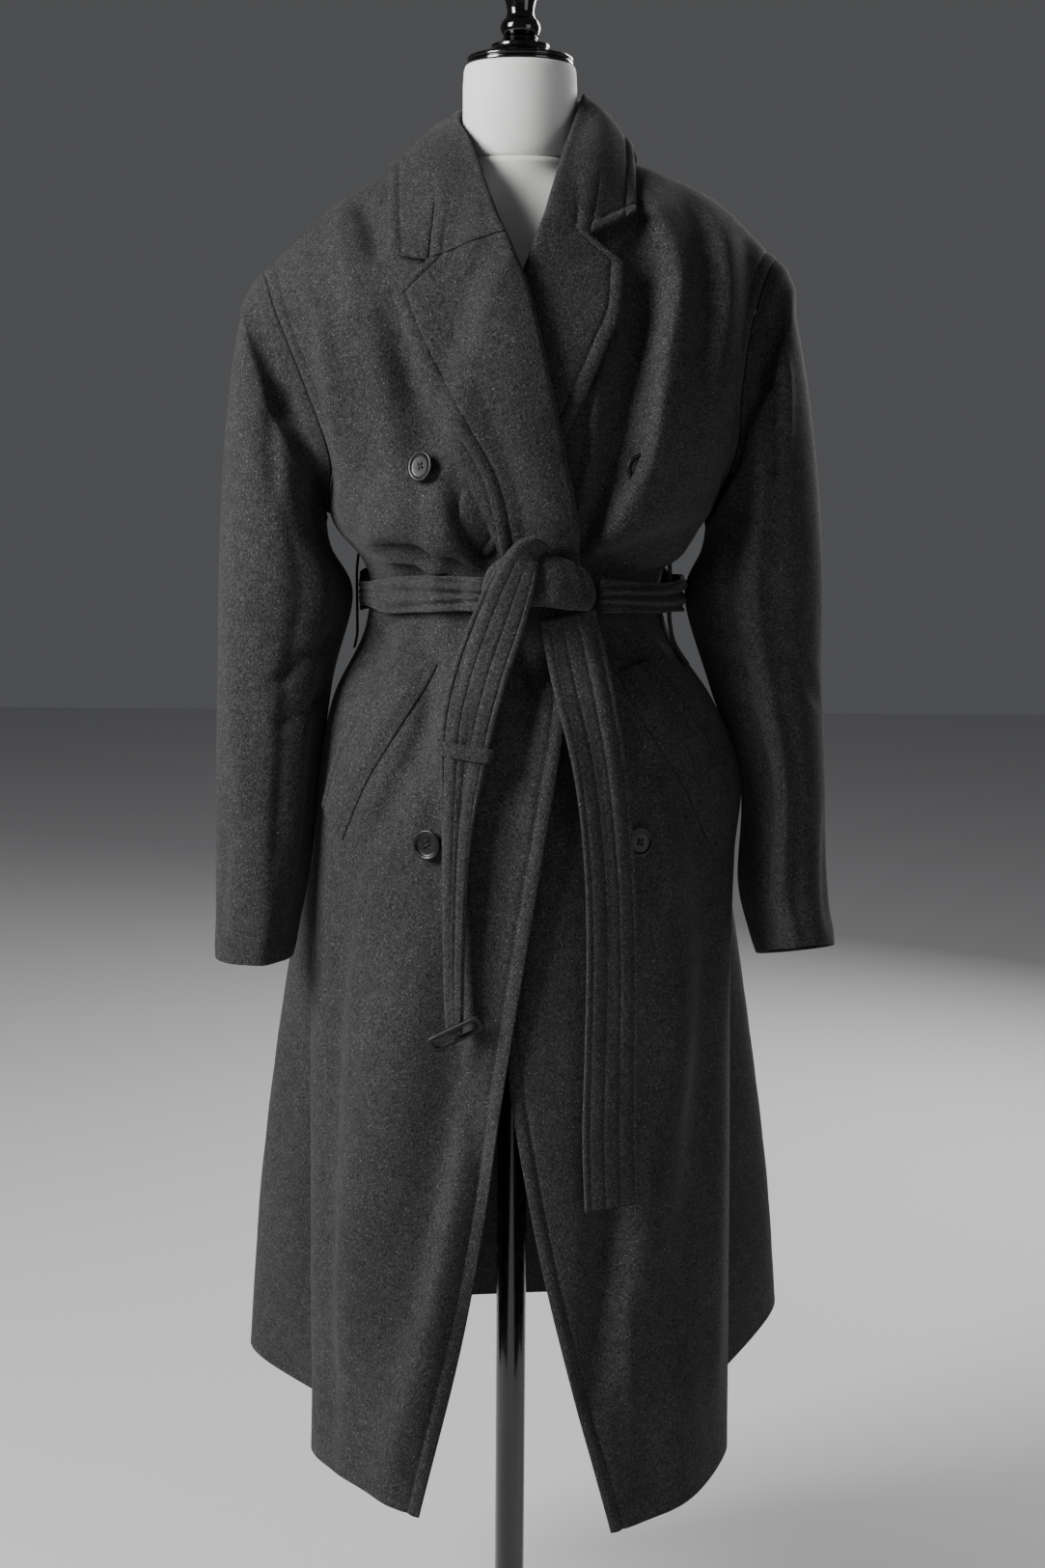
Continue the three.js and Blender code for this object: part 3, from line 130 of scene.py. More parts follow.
BACK_ROWS = [
    {"flute_r": (-290, 150, 336), "back_r": (-152, 222, 352), "spine": (0, 230, 362),
     "back_l": (152, 226, 368), "flute_l": (294, 168, 384)},
    {"flute_r": (-270, 124, 560), "back_r": (-140, 194, 562), "spine": (0, 202, 564),
     "back_l": (142, 196, 564), "flute_l": (274, 136, 566)},
    {"flute_r": (-236, 98, 790), "back_r": (-130, 170, 790), "spine": (0, 176, 790),
     "back_l": (132, 170, 790), "flute_l": (238, 104, 790)},
    {"flute_r": (-208, 82, 930), "back_r": (-120, 156, 930), "spine": (0, 160, 930),
     "back_l": (122, 156, 930), "flute_l": (212, 86, 930)},
    {"flute_r": (-190, 72, 1020), "back_r": (-112, 144, 1020), "spine": (0, 146, 1020),
     "back_l": (114, 144, 1020), "flute_l": (196, 76, 1020)},
    {"flute_r": (-172, 64, 1085), "back_r": (-104, 128, 1085), "spine": (0, 130, 1085),
     "back_l": (106, 128, 1085), "flute_l": (178, 66, 1085)},
    {"flute_r": (-139, 52, 1156), "back_r": (-88, 96, 1156), "spine": (0, 102, 1156),
     "back_l": (90, 96, 1156), "flute_l": (140, 52, 1156)},
    {"flute_r": (-134, 50, 1188), "back_r": (-84, 92, 1188), "spine": (0, 98, 1188),
     "back_l": (86, 92, 1188), "flute_l": (134, 50, 1188)},
    {"flute_r": (-142, 53, 1218), "back_r": (-88, 97, 1218), "spine": (0, 102, 1218),
     "back_l": (90, 97, 1218), "flute_l": (142, 53, 1218)},
    {"flute_r": (-170, 66, 1256), "back_r": (-104, 126, 1256), "spine": (0, 128, 1258),
     "back_l": (106, 126, 1256), "flute_l": (170, 68, 1254)},
    {"seam_r": (-184, 50, 1316), "flute_r": (-158, 98, 1312), "back_r": (-96, 128, 1312),
     "spine": (0, 128, 1312), "back_l": (98, 128, 1312), "flute_l": (162, 98, 1312),
     "seam_l": (192, 52, 1318)},
    {"seam_r": (-198, 76, 1388), "flute_r": (-160, 108, 1390), "back_r": (-92, 128, 1392),
     "spine": (0, 126, 1394), "back_l": (94, 128, 1392), "flute_l": (164, 108, 1390),
     "seam_l": (206, 76, 1390)},
    {"seam_r": (-228, 56, 1452), "flute_r": (-176, 88, 1464), "back_r": (-92, 108, 1480),
     "spine": (0, 108, 1488), "back_l": (94, 108, 1482), "flute_l": (182, 88, 1468),
     "seam_l": (234, 58, 1458)},
    {"seam_r": (-243, 30, 1484), "flute_r": (-184, 50, 1522), "back_r": (-92, 70, 1556),
     "spine": (0, 80, 1562), "back_l": (94, 70, 1558), "flute_l": (192, 50, 1528),
     "seam_l": (247, 32, 1496)},
    {"flute_r": (-170, 4, 1564), "back_r": (-74, 2, 1608), "spine": (0, 44, 1612),
     "back_l": (74, 2, 1609), "flute_l": (176, 4, 1569)},
]

FRONT_FOLDS = [
    {"name": "right front, edge trough", "from": (8, 1120), "to": (-60, 330), "width": 42, "depth": -12},
    {"name": "right front, broad roll", "from": (-90, 880), "to": (-128, 310), "width": 60, "depth": 8},
    {"name": "left front, long roll", "from": (150, 960), "to": (176, 300), "width": 46, "depth": 7},
    {"name": "left front, edge trough", "from": (96, 700), "to": (140, 290), "width": 40, "depth": -6},
    {"name": "right front, pocket fold", "from": (-110, 1170), "to": (-136, 1090), "width": 20, "depth": -9},
    {"name": "right chest trough", "from": (-122, 1470), "to": (-88, 1300), "width": 34, "depth": -9},
    {"name": "right pillow", "from": (-150, 1240), "to": (-60, 1240), "width": 18, "depth": 9},
]

BACK_FOLDS = [
    {"name": "back right flute", "from": (-70, 1080), "to": (-92, 350), "width": 46, "depth": -13},
    {"name": "back left flute", "from": (64, 1090), "to": (80, 360), "width": 50, "depth": -12},
    {"name": "blade drape", "from": (-120, 1470), "to": (-70, 1250), "width": 34, "depth": -8},
    {"name": "blade drape left", "from": (126, 1480), "to": (76, 1250), "width": 36, "depth": -9},
]

RIGHT_LAPEL = [
    {"roll": 1223, "edge": (-9, 1221)},
    {"roll": 1262, "edge": (-17, 1252)},
    {"roll": 1316, "edge": (-32, 1306)},
    {"roll": 1360, "edge": (-54, 1346)},
    {"roll": 1405, "edge": (-77, 1385)},
    {"roll": 1450, "edge": (-99, 1428)},
    {"roll": 1482, "edge": (-114, 1464)},
    {"roll": 1507, "edge": (-79, 1497)},
]

LEFT_LAPEL = [
    {"roll": 1236, "edge": (-22, 1236)},
    {"roll": 1262, "edge": (-6, 1258)},
    {"roll": 1300, "edge": (18, 1298)},
    {"roll": 1350, "edge": (44, 1341)},
    {"roll": 1400, "edge": (64, 1380)},
    {"roll": 1448, "edge": (80, 1418)},
    {"roll": 1480, "edge": (92, 1448)},
    {"roll": 1500, "edge": (96, 1494)},
    {"roll": 1518, "edge": (62, 1521)},
]

COLLAR_ROWS = [
    {"foot": (-4, -118, 1526), "fold": (-12, -136, 1528), "middle": (-78, -122, 1505),
     "edge": (-120, -106, 1507)},
    {"foot": (-23, -86, 1560), "fold": (-27, -110, 1558), "middle": (-76, -96, 1558),
     "edge": (-123, -72, 1545)},
    {"foot": (-59, -36, 1600), "fold": (-46, -54, 1612), "middle": (-88, -50, 1608),
     "edge": (-124, -28, 1588)},
    {"foot": (-67, 6, 1609), "fold": (-60, -8, 1640), "middle": (-90, -2, 1628),
     "edge": (-124, 12, 1594)},
    {"foot": (-47, 39, 1599), "fold": (-54, 46, 1656), "middle": (-82, 62, 1634),
     "edge": (-110, 74, 1586)},
    {"foot": (0, 60.5, 1591), "fold": (0, 68, 1664), "middle": (0, 86, 1640),
     "edge": (0, 98, 1578)},
    {"foot": (47, 39, 1600), "fold": (55, 46, 1664), "middle": (80, 60, 1646),
     "edge": (108, 74, 1602)},
    {"foot": (67, 6, 1610), "fold": (61, -4, 1663), "middle": (84, -4, 1646),
     "edge": (108, 4, 1618)},
    {"foot": (58, -36, 1601), "fold": (50, -50, 1626), "middle": (80, -48, 1620),
     "edge": (110, -34, 1594)},
    {"foot": (28, -84, 1566), "fold": (33, -106, 1572), "middle": (72, -94, 1570),
     "edge": (110, -68, 1564)},
    {"foot": (13, -102, 1540), "fold": (21, -123, 1539), "middle": (62, -117, 1528),
     "edge": (110, -94, 1546)},
]

RIGHT_SLEEVE = {
     "side": -1,
     "gap": 3.4,
     "rings": [
    {"middle": (-231, 0, 1346), "across": 42, "deep": 86, "outer_rise": 95, "front_rise": 6},
    {"middle": (-236, 0, 1280), "across": 52, "deep": 86, "outer_rise": 52, "front_rise": 4},
    {"middle": (-229, -2, 1195), "across": 66, "deep": 82, "outer_rise": 12, "front_rise": 4},
    {"middle": (-240, -8, 1100), "across": 57, "deep": 76, "outer_rise": 2, "front_rise": 4},
    {"middle": (-247, -15, 1000), "across": 52, "deep": 70, "outer_rise": 0, "front_rise": 5},
    {"middle": (-253, -24, 900), "across": 46, "deep": 64, "outer_rise": 0, "front_rise": 6},
    {"middle": (-261, -32, 821), "across": 38, "deep": 59, "outer_rise": 0, "front_rise": 4},
    ],
}

LEFT_SLEEVE = {
     "side": 1,
     "gap": 4.4,
     "rings": [
    {"middle": (230, 0, 1352), "across": 42, "deep": 86, "outer_rise": 98, "front_rise": 6},
    {"middle": (238, 0, 1284), "across": 54, "deep": 86, "outer_rise": 54, "front_rise": 4},
    {"middle": (236, -2, 1195), "across": 68, "deep": 82, "outer_rise": 12, "front_rise": 4},
    {"middle": (250, -2, 1100), "across": 56, "deep": 75, "outer_rise": 4, "front_rise": 5},
    {"middle": (269, -8, 1000), "across": 42, "deep": 69, "outer_rise": 4, "front_rise": 8},
    {"middle": (270, -22, 900), "across": 44, "deep": 63, "outer_rise": 4, "front_rise": 12},
    {"middle": (283, -36, 833), "across": 38, "deep": 58, "outer_rise": 4, "front_rise": 16},
    ],
}

KNOT_ROWS = [
    {"x": -32, "y": -158, "z": 1194, "high": 12, "deep": 5},
    {"x": -22, "y": -160, "z": 1201, "high": 21, "deep": 8},
    {"x": 0, "y": -164, "z": 1208, "high": 25, "deep": 10},
    {"x": 30, "y": -171, "z": 1209, "high": 25, "deep": 13},
    {"x": 56, "y": -167, "z": 1203, "high": 22, "deep": 11},
    {"x": 74, "y": -160, "z": 1194, "high": 15, "deep": 7},
]

BUCKLE_TAIL = [
    {"at": (8, 1231), "half": 15, "off": 57},
    {"at": (-3, 1206), "half": 21, "off": 64},
    {"at": (-16, 1169), "half": 25, "off": 49},
    {"at": (-32, 1121), "half": 26, "off": 35},
    {"at": (-43, 1076), "half": 25, "off": 29},
    {"at": (-48, 1032), "half": 21, "off": 24},
    {"at": (-53, 968), "half": 14, "off": 22},
    {"at": (-55, 886), "half": 11, "off": 20},
    {"at": (-55, 806), "half": 9, "off": 18},
]

FREE_TAIL = [
    {"at": (48, 1176), "half": 26, "off": 41},
    {"at": (61, 1121), "half": 28, "off": 33},
    {"at": (80, 1032), "half": 25, "off": 24},
    {"at": (90, 941), "half": 24, "off": 20},
    {"at": (94, 849), "half": 25, "off": 17},
    {"at": (94, 756), "half": 26, "off": 15},
    {"at": (94, 681), "half": 27, "off": 14},
    {"at": (97, 610), "half": 27, "off": 13},
]

WELT_RIGHT = [
    {"outer": (-106, 1136), "inner": (-71, 1123)},
    {"outer": (-143, 1084), "inner": (-107, 1066)},
    {"outer": (-170, 1030), "inner": (-140, 1010)},
    {"outer": (-184, 980), "inner": (-165, 950)},
]

WELT_LEFT = [
    {"outer": (124, 1128), "inner": (96, 1118)},
    {"outer": (156, 1086), "inner": (126, 1064)},
    {"outer": (186, 1040), "inner": (160, 1008)},
    {"outer": (203, 990), "inner": (186, 952)},
]

# Each belt loop: u of its place on the front sheet, and rows of its height and how far its back
# stands off the waist there.
LOOPS = {
    "belt_loop_right": {"u": 0.03, "rows": (
        (1224, 14), (1210, 15.4), (1188, 15.6), (1160, 15.4), (1144, 15.6), (1130, 18.5))},
    "belt_loop_left": {"u": 0.85, "rows": (
        (1220, 15), (1210, 15.6), (1188, 15.6), (1160, 16.5), (1142, 21), (1120, 36))},
}

TORSO_ROWS = [
    {"z": TORSO_BOTTOM, "half": 158, "front": 96, "back": 104, "square": 2.1},
    {"z": 1000, "half": 164, "front": 102, "back": 112, "square": 2.1},
    {"z": 1060, "half": 156, "front": 98, "back": 102, "square": 2.1},
    {"z": 1125, "half": 130, "front": 90, "back": 84, "square": 2.1},
    {"z": 1188, "half": 116, "front": 86, "back": 74, "square": 2.1},
    {"z": 1250, "half": 126, "front": 96, "back": 82, "square": 2.2},
    {"z": 1320, "half": 144, "front": 120, "back": 96, "square": 2.3},
    {"z": 1380, "half": 154, "front": 130, "back": 104, "square": 2.4},
    {"z": 1440, "half": 162, "front": 116, "back": 102, "square": 2.4},
    {"z": 1490, "half": 168, "front": 96, "back": 90, "square": 2.4},
    {"z": 1522, "half": 160, "front": 76, "back": 72, "square": 2.3},
    {"z": 1548, "half": 130, "front": 62, "back": 60, "square": 2.2},
    {"z": 1572, "half": 90, "front": 54, "back": 54, "square": 2.1},
    {"z": 1590, "half": 60, "front": 53, "back": 53, "square": 2},
    {"z": 1602, "half": NECK_RADIUS, "front": NECK_RADIUS, "back": NECK_RADIUS, "square": 2},
]

RIGHT_EDGE = (-87, -32, 2, 23, 37, 47, 50, 52, 51, 50, 44, 27, 3, -30, -74)

LEFT_EDGE = (99, 28, -12, -28, -36, -42, -47, -50, -50, -49, -44, -26, 3, 34, 74)

BUTTONS = {
     "button_top_right": {"at": (-84, 1310), "shank": 5.5},
     "button_top_left": {"at": (112, 1311), "shank": 4},
     "button_low_right": {"at": (-78, 958), "shank": 4},
     "button_low_left": {"at": (116, 960), "shank": 3},
}



# ---- the cloth ----

UNDERARM = 9
WAIST = 7
REACH = np.array([row["reach"] for row in FRONT_ROWS], float)
TOP = len(REACH) - 1
FRONT_LINES = ("seam_r", "ridge_r", "mid_r", "centre", "mid_l", "ridge_l", "seam_l")
BACK_LINES = ("seam_r", "flute_r", "back_r", "spine", "back_l", "flute_l", "seam_l")
for front_row, back_row in zip(FRONT_ROWS, BACK_ROWS):
    for seam in ("seam_r", "seam_l"):
        back_row.setdefault(seam, front_row[seam])

# ---- curves -----------------------------------------------------------------------------------


def smooth(low, high, x):
    t = np.clip((np.asarray(x, float) - low) / (high - low), 0, 1)
    return t * t * (3 - 2 * t)


def mix(a, b, t):
    return a + (b - a) * t


def bell(x):
    return np.exp(-np.square(x))


def curve_weights(knots, x):
    """Weights, a row for each x, that take values at rising knots to points of a smooth curve."""
    knots = np.asarray(knots, float)
    x = np.asarray(x, float)
    i = np.clip(np.searchsorted(knots, x, side="left") - 1, 1, len(knots) - 3)
    h = knots[i + 1] - knots[i]
    t = (x - knots[i]) / h

    def slope(k):
        before = knots[k] - knots[k - 1]
        after = knots[k + 1] - knots[k]
        scale = 1 / (before + after)
        return (-after / before * scale, (after / before - before / after) * scale,
                before / after * scale)

    a = slope(i)
    b = slope(i + 1)
    leave = (t ** 3 - 2 * t ** 2 + t) * h
    arrive = (t ** 3 - t ** 2) * h
    weights = np.zeros((len(x), len(knots)))
    row = np.arange(len(x))
    weights[row, i - 1] += leave * a[0]
    weights[row, i] += 2 * t ** 3 - 3 * t ** 2 + 1 + leave * a[1] + arrive * b[0]
    weights[row, i + 1] += 3 * t ** 2 - 2 * t ** 3 + leave * a[2] + arrive * b[1]
    weights[row, i + 2] += arrive * b[2]
    return weights


def table_curve(knots, values):
    """A smooth curve through the rows of a table, both ends carried on straight."""
    knots = np.asarray(knots, float)
    values = np.asarray(values, float)
    wide = np.concatenate([[2 * knots[0] - knots[1]], knots, [2 * knots[-1] - knots[-2]]])
    ends = np.concatenate([[2 * values[0] - values[1]], values, [2 * values[-1] - values[-2]]])

    def curve(x):
        x = np.asarray(x, float)
        flat = curve_weights(wide, x.ravel()) @ ends.reshape(len(ends), -1)
        return flat.reshape(x.shape + values.shape[1:])

    return curve


# ---- the front and back sheets ----------------------------------------------------------------


def sheet_points(rows, lines, other_rows, other_lines):
    grid = np.array([[row[line] for line in lines] for row in rows], float)
    other = np.array([[row[line] for line in other_lines] for row in other_rows], float)
    first = 2 * grid[:, 0] - grid[:, 1]
    last = 2 * grid[:, -1] - grid[:, -2]
    first[:UNDERARM + 1] = other[:UNDERARM + 1, 1]
    last[:UNDERARM + 1] = other[:UNDERARM + 1, -2]
    wide = np.concatenate([first[:, None], grid, last[:, None]], axis=1)
    above = other[TOP - 1][[0, *range(len(lines)), len(lines) - 1]]
    return np.concatenate([(2 * wide[0] - wide[1])[None], wide, above[None]])


V_KNOTS = np.concatenate([[2 * REACH[0] - REACH[1]], REACH, [2 * REACH[TOP] - REACH[TOP - 1]]])


def sheet(points):
    """A surface: points for u, 0 to 1 from the right seam to the left one, and for the reach."""
    u_knots = (np.arange(points.shape[1]) - 1) / (points.shape[1] - 3)

    def surface(u, reach):
        u, reach = np.broadcast_arrays(np.asarray(u, float), np.asarray(reach, float))
        across = curve_weights(u_knots, u.ravel())
        up = curve_weights(V_KNOTS, reach.ravel())
        rows = np.einsum("mi,ijk->mjk", up, points)
        return np.einsum("mj,mjk->mk", across, rows).reshape(u.shape + (3,))

    return surface


front_sheet = sheet(sheet_points(FRONT_ROWS, FRONT_LINES, BACK_ROWS, BACK_LINES))
back_sheet = sheet(sheet_points(BACK_ROWS, BACK_LINES, FRONT_ROWS, FRONT_LINES))


def unit(v):
    return v / np.maximum(np.linalg.norm(v, axis=-1, keepdims=True), 1e-9)


def normal_of(surface, u, reach, side):
    du = surface(u + 0.004, reach) - surface(u - 0.004, reach)
    dv = surface(u, reach + 2) - surface(u, reach - 2)
    return unit(np.cross(du, dv) * side)


def front_at(x, z):
    """u and reach of the front sheet's points that are seen at x, z from the front."""
    x, z = np.broadcast_arrays(np.asarray(x, float), np.asarray(z, float))
    u = np.full(x.shape, 0.5)
    reach = z.copy()
    for _ in range(30):
        p = front_sheet(u, reach)
        du = (front_sheet(u + 0.002, reach) - p) / 0.002
        dv = front_sheet(u, reach + 1) - p
        bottom = du[..., 0] * dv[..., 2] - du[..., 2] * dv[..., 0]
        ex = x - p[..., 0]
        ez = z - p[..., 2]
        u = np.clip(u + (ex * dv[..., 2] - ez * dv[..., 0]) / bottom, 0.01, 0.99)
        reach = np.clip(reach + (du[..., 0] * ez - du[..., 2] * ex) / bottom, REACH[0], REACH[TOP])
    return u, reach


def u_at(x, reach):
    """u of the points of rows that are at x."""
    x, reach = np.broadcast_arrays(np.asarray(x, float), np.asarray(reach, float))
    low = np.full(x.shape, 0.05)
    high = np.full(x.shape, 0.95)
    for _ in range(40):
        middle = (low + high) / 2
        left = front_sheet(middle, reach)[..., 0] < x
        low = np.where(left, middle, low)
        high = np.where(left, high, middle)
    return (low + high) / 2


right_edge = table_curve(REACH, RIGHT_EDGE)
left_edge = table_curve(REACH, LEFT_EDGE)


def lap_lift(x, reach):
    """The right front rises over the edge of the left front."""
    edge = left_edge(reach)
    return LAP_LIFT * smooth(0, 1, (x - edge + 46) / 34)


def right_lift(u, reach):
    return lap_lift(front_sheet(u, reach)[..., 0], reach)


def no_lift(u, reach):
    return np.zeros(np.broadcast(u, reach).shape)


# ---- folds ------------------------------------------------------------------------------------
# A main fold goes from one [x, z] to another. A crease runs down a line of [x, z] points: sides
# is how far it reaches towards the wearer's right and left, and depth its height along the line.

FRONT_CREASES = [
    # the wearer's left chest: drapes that hang from the shoulder and gather at the knot
    {"line": ((120, 1580), (125, 1541), (139, 1504), (142, 1476), (133, 1419), (126, 1369),
              (115, 1311), (88, 1264), (63, 1224)), "sides": (9, 50),
     "depth": (6, 14, 20, 22, 21, 20, 19, 17, 15)},
    {"line": ((108, 1545), (112, 1500), (114, 1440), (104, 1382), (92, 1330), (74, 1276),
              (56, 1228)), "sides": (17, 13), "depth": (-3, -9, -13, -14, -12, -9, -6)},
    {"line": ((88, 1430), (76, 1395), (70, 1326), (57, 1262), (50, 1226)), "sides": (7, 9),
     "depth": (2, 5, 7, 7, 6)},
    {"line": ((160, 1578), (182, 1540), (191, 1480), (182, 1400), (160, 1310)),
     "sides": (10, 26), "depth": (3, 8, 9, 7, 3)},
    {"line": ((164, 1560), (170, 1500), (166, 1440), (158, 1400)), "sides": (16, 10),
     "depth": (-3, -6, -6, -3)},
    {"line": ((214, 1530), (216, 1470), (204, 1420)), "sides": (14, 10), "depth": (-3, -5, -3)},
    {"line": ((162, 1264), (130, 1247), (101, 1236), (76, 1219)), "sides": (15, 20),
     "depth": (-4, -9, -9, -6)},
    {"line": ((168, 1246), (142, 1229), (112, 1217)), "sides": (14, 16), "depth": (3, 6, 4)},
    # the wearer's right chest
    {"line": ((-152, 1566), (-147, 1548), (-136, 1518), (-132, 1500)), "sides": (9, 13),
     "depth": (-3, -9, -9, -4)},
    {"line": ((-172, 1560), (-160, 1505), (-152, 1440)), "sides": (12, 18), "depth": (3, 6, 3)},
    {"line": ((-206, 1490), (-184, 1440), (-172, 1350), (-160, 1256)), "sides": (8, 10),
     "depth": (2, 5, 5, 3)},
    {"line": ((-110, 1432), (-101, 1399), (-70, 1335), (-37, 1269), (-22, 1238)),
     "sides": (15, 9), "depth": (-3, -8, -8, -7, -5)},
    {"line": ((-132, 1470), (-122, 1400), (-104, 1330)), "sides": (18, 16), "depth": (2, 5, 2)},
    {"line": ((-66, 1297), (-45, 1262), (-22, 1230)), "sides": (7, 9), "depth": (-5, -10, -9)},
    {"line": ((-90, 1290), (-62, 1256), (-36, 1226)), "sides": (9, 10), "depth": (2, 5, 6)},
    {"line": ((-146, 1400), (-140, 1340), (-130, 1280)), "sides": (20, 16), "depth": (-2, -5, -3)},
    # over the hips, from under the belt
    {"line": ((-124, 1170), (-141, 1122), (-148, 1100), (-152, 1076)), "sides": (8, 9),
     "depth": (-9, -9, -6, -2)},
    {"line": ((-108, 1168), (-124, 1120), (-130, 1092)), "sides": (9, 8), "depth": (4, 5, 2)},
    {"line": ((-60, 1150), (-92, 1052), (-124, 985), (-150, 920)), "sides": (8, 15),
     "depth": (-3, -6, -6, -3)},
    {"line": ((-40, 1150), (-60, 1060), (-96, 960)), "sides": (14, 12), "depth": (3, 5, 2)},
    {"line": ((10, 1160), (12, 1100), (6, 1010)), "sides": (12, 12), "depth": (-6, -7, -3)},
    {"line": ((96, 1160), (128, 1110), (160, 1062)), "sides": (7, 9), "depth": (-9, -8, -3)},
    {"line": ((112, 1160), (150, 1112), (180, 1074)), "sides": (9, 8), "depth": (6, 6, 2)},
    {"line": ((98, 1110), (122, 1050), (152, 990), (180, 930)), "sides": (14, 8),
     "depth": (-3, -5, -5, -2)},
    {"line": ((120, 1060), (140, 1000), (152, 950), (148, 876)), "sides": (9, 16),
     "depth": (2, 5, 5, 2)},
    # the skirt
    {"line": ((-26, 1010), (-36, 860), (-47, 753), (-80, 614), (-103, 509), (-134, 401),
              (-150, 326)), "sides": (34, 22), "depth": (-2, -8, -13, -15, -15, -13, -8)},
    {"line": ((2, 1030), (-14, 930), (-34, 790), (-62, 560), (-118, 306)), "sides": (14, 20),
     "depth": (4, 8, 10, 10, 7)},
    {"line": ((-120, 880), (-128, 760), (-150, 600), (-168, 430)), "sides": (24, 26),
     "depth": (2, 7, 9, 6)},
    {"line": ((-160, 900), (-172, 760), (-180, 560), (-184, 330)), "sides": (16, 10),
     "depth": (-4, -8, -10, -8)},
    {"line": ((112, 860), (103, 754), (89, 545), (80, 403)), "sides": (16, 15),
     "depth": (-4, -9, -11, -7)},
    {"line": ((158, 880), (152, 768), (134, 651), (116, 475), (124, 380)), "sides": (13, 26),
     "depth": (2, 8, 8, 11, 8)},
    {"line": ((190, 940), (184, 800), (170, 620), (164, 420)), "sides": (16, 18),
     "depth": (-3, -6, -7, -4)},
    {"line": ((204, 900), (206, 700), (204, 380)), "sides": (12, 10), "depth": (2, 4, 4)},
]
CROSS_FOLDS = [
    {"name": "pillow crease", "from": (-140, 1236), "to": (-44, 1225), "width": 11, "depth": -13,
     "bend": 8},
    {"name": "pillow edge", "from": (-146, 1257), "to": (-70, 1250), "width": 22, "depth": 8},
    {"name": "pillow", "from": (-134, 1228), "to": (-62, 1220), "width": 13, "depth": 9,
     "bend": 5},
]
BACK_CREASES = [
    {"line": ((-8, 1140), (-6, 900), (-4, 520)), "sides": (22, 20), "depth": (3, 7, 5)},
    {"line": ((-104, 1130), (-136, 800), (-160, 420)), "sides": (18, 16), "depth": (4, 8, 6)},
    {"line": ((106, 1130), (134, 800), (156, 430)), "sides": (16, 20), "depth": (4, 7, 5)},
    {"line": ((-136, 1100), (-176, 800), (-212, 420)), "sides": (16, 20), "depth": (-4, -10, -8)},
    {"line": ((138, 1100), (178, 800), (216, 430)), "sides": (20, 16), "depth": (-4, -9, -8)},
    {"line": ((-112, 1330), (-98, 1270), (-90, 1216)), "sides": (6, 9), "depth": (-2, -7, -8)},
    {"line": ((-66, 1350), (-58, 1280), (-52, 1216)), "sides": (9, 7), "depth": (-2, -7, -8)},
    {"line": ((-22, 1300), (-18, 1260), (-14, 1216)), "sides": (7, 7), "depth": (-1, -5, -7)},
    {"line": ((28, 1360), (24, 1290), (20, 1216)), "sides": (7, 10), "depth": (-2, -7, -8)},
    {"line": ((72, 1310), (64, 1260), (56, 1216)), "sides": (8, 7), "depth": (-2, -6, -7)},
    {"line": ((120, 1340), (106, 1280), (92, 1216)), "sides": (8, 9), "depth": (-2, -7, -8)},
    {"line": ((-42, 1340), (-38, 1270), (-34, 1218)), "sides": (9, 8), "depth": (1, 4, 4)},
    {"line": ((44, 1330), (42, 1270), (38, 1218)), "sides": (8, 9), "depth": (1, 4, 4)},
    {"line": ((-70, 1160), (-80, 1100), (-90, 1020)), "sides": (7, 9), "depth": (-7, -7, -3)},
    {"line": ((-34, 1160), (-38, 1080), (-44, 980)), "sides": (9, 7), "depth": (-7, -7, -3)},
    {"line": ((10, 1160), (12, 1090), (14, 1010)), "sides": (8, 8), "depth": (-6, -6, -3)},
    {"line": ((52, 1160), (58, 1080), (64, 990)), "sides": (8, 9), "depth": (-7, -7, -3)},
    {"line": ((92, 1160), (104, 1100), (116, 1030)), "sides": (8, 8), "depth": (-6, -6, -2)},
    {"line": ((20, 1560), (58, 1450), (84, 1330)), "sides": (16, 22), "depth": (-2, -5, -3)},
    {"line": ((-30, 1560), (-56, 1460), (-84, 1350)), "sides": (22, 16), "depth": (-2, -5, -3)},
    {"line": ((-150, 1540), (-160, 1450), (-150, 1330)), "sides": (14, 18), "depth": (2, 6, 3)},
    {"line": ((156, 1540), (168, 1450), (156, 1340)), "sides": (18, 14), "depth": (2, 6, 3)},
]
CREASE_FADE = 0.12      # part of a crease's length over which each of its ends dies away


def crease_height(crease, x, z):
    """How far a crease moves the cloth out at x, z."""
    line = np.array(crease["line"], float)
    top, foot = line[0, 1], line[-1, 1]
    along = (top - z) / (top - foot)
    inside = np.clip(z, foot, top)
    course = table_curve(-line[:, 1], line[:, 0])
    slope = (course(-inside + 2) - course(-inside - 2)) / 4
    across = (x - course(-inside)) / np.hypot(1, slope)
    reach = np.where(across < 0, crease["sides"][0], crease["sides"][1])
    depth = np.interp(along, np.linspace(0, 1, len(crease["depth"])), crease["depth"])
    ends = smooth(-CREASE_FADE, CREASE_FADE, along) * (1 - smooth(1 - CREASE_FADE,
                                                                  1 + CREASE_FADE, along))
    return depth * ends * bell(across / reach)


def fold_height(fold, x, z):
    """How far a main fold moves the cloth out at x, z: full along it, fading past its ends."""
    x0, z0 = fold["from"]
    x1, z1 = fold["to"]
    length = math.hypot(x1 - x0, z1 - z0)
    ux, uz = (x1 - x0) / length, (z1 - z0) / length
    along = ((x - x0) * ux + (z - z0) * uz) / length
    across = (x - x0) * uz - (z - z0) * ux
    bend = fold.get("bend", 0) * (1 - np.square(np.clip(2 * along - 1, -1, 1)))
    part = smooth(-0.1, 0.25, along) * (1 - smooth(0.8, 1.15, along))
    return fold["depth"] * part * bell((across + bend) / (fold["width"] / 2))


def lapel_edge(table):
    """x of a lapel's outer edge at each height."""
    rows = [row["edge"] for row in table[:-1]]
    return lambda z: np.interp(z, [z0 for _, z0 in rows], [x0 for x0, _ in rows])


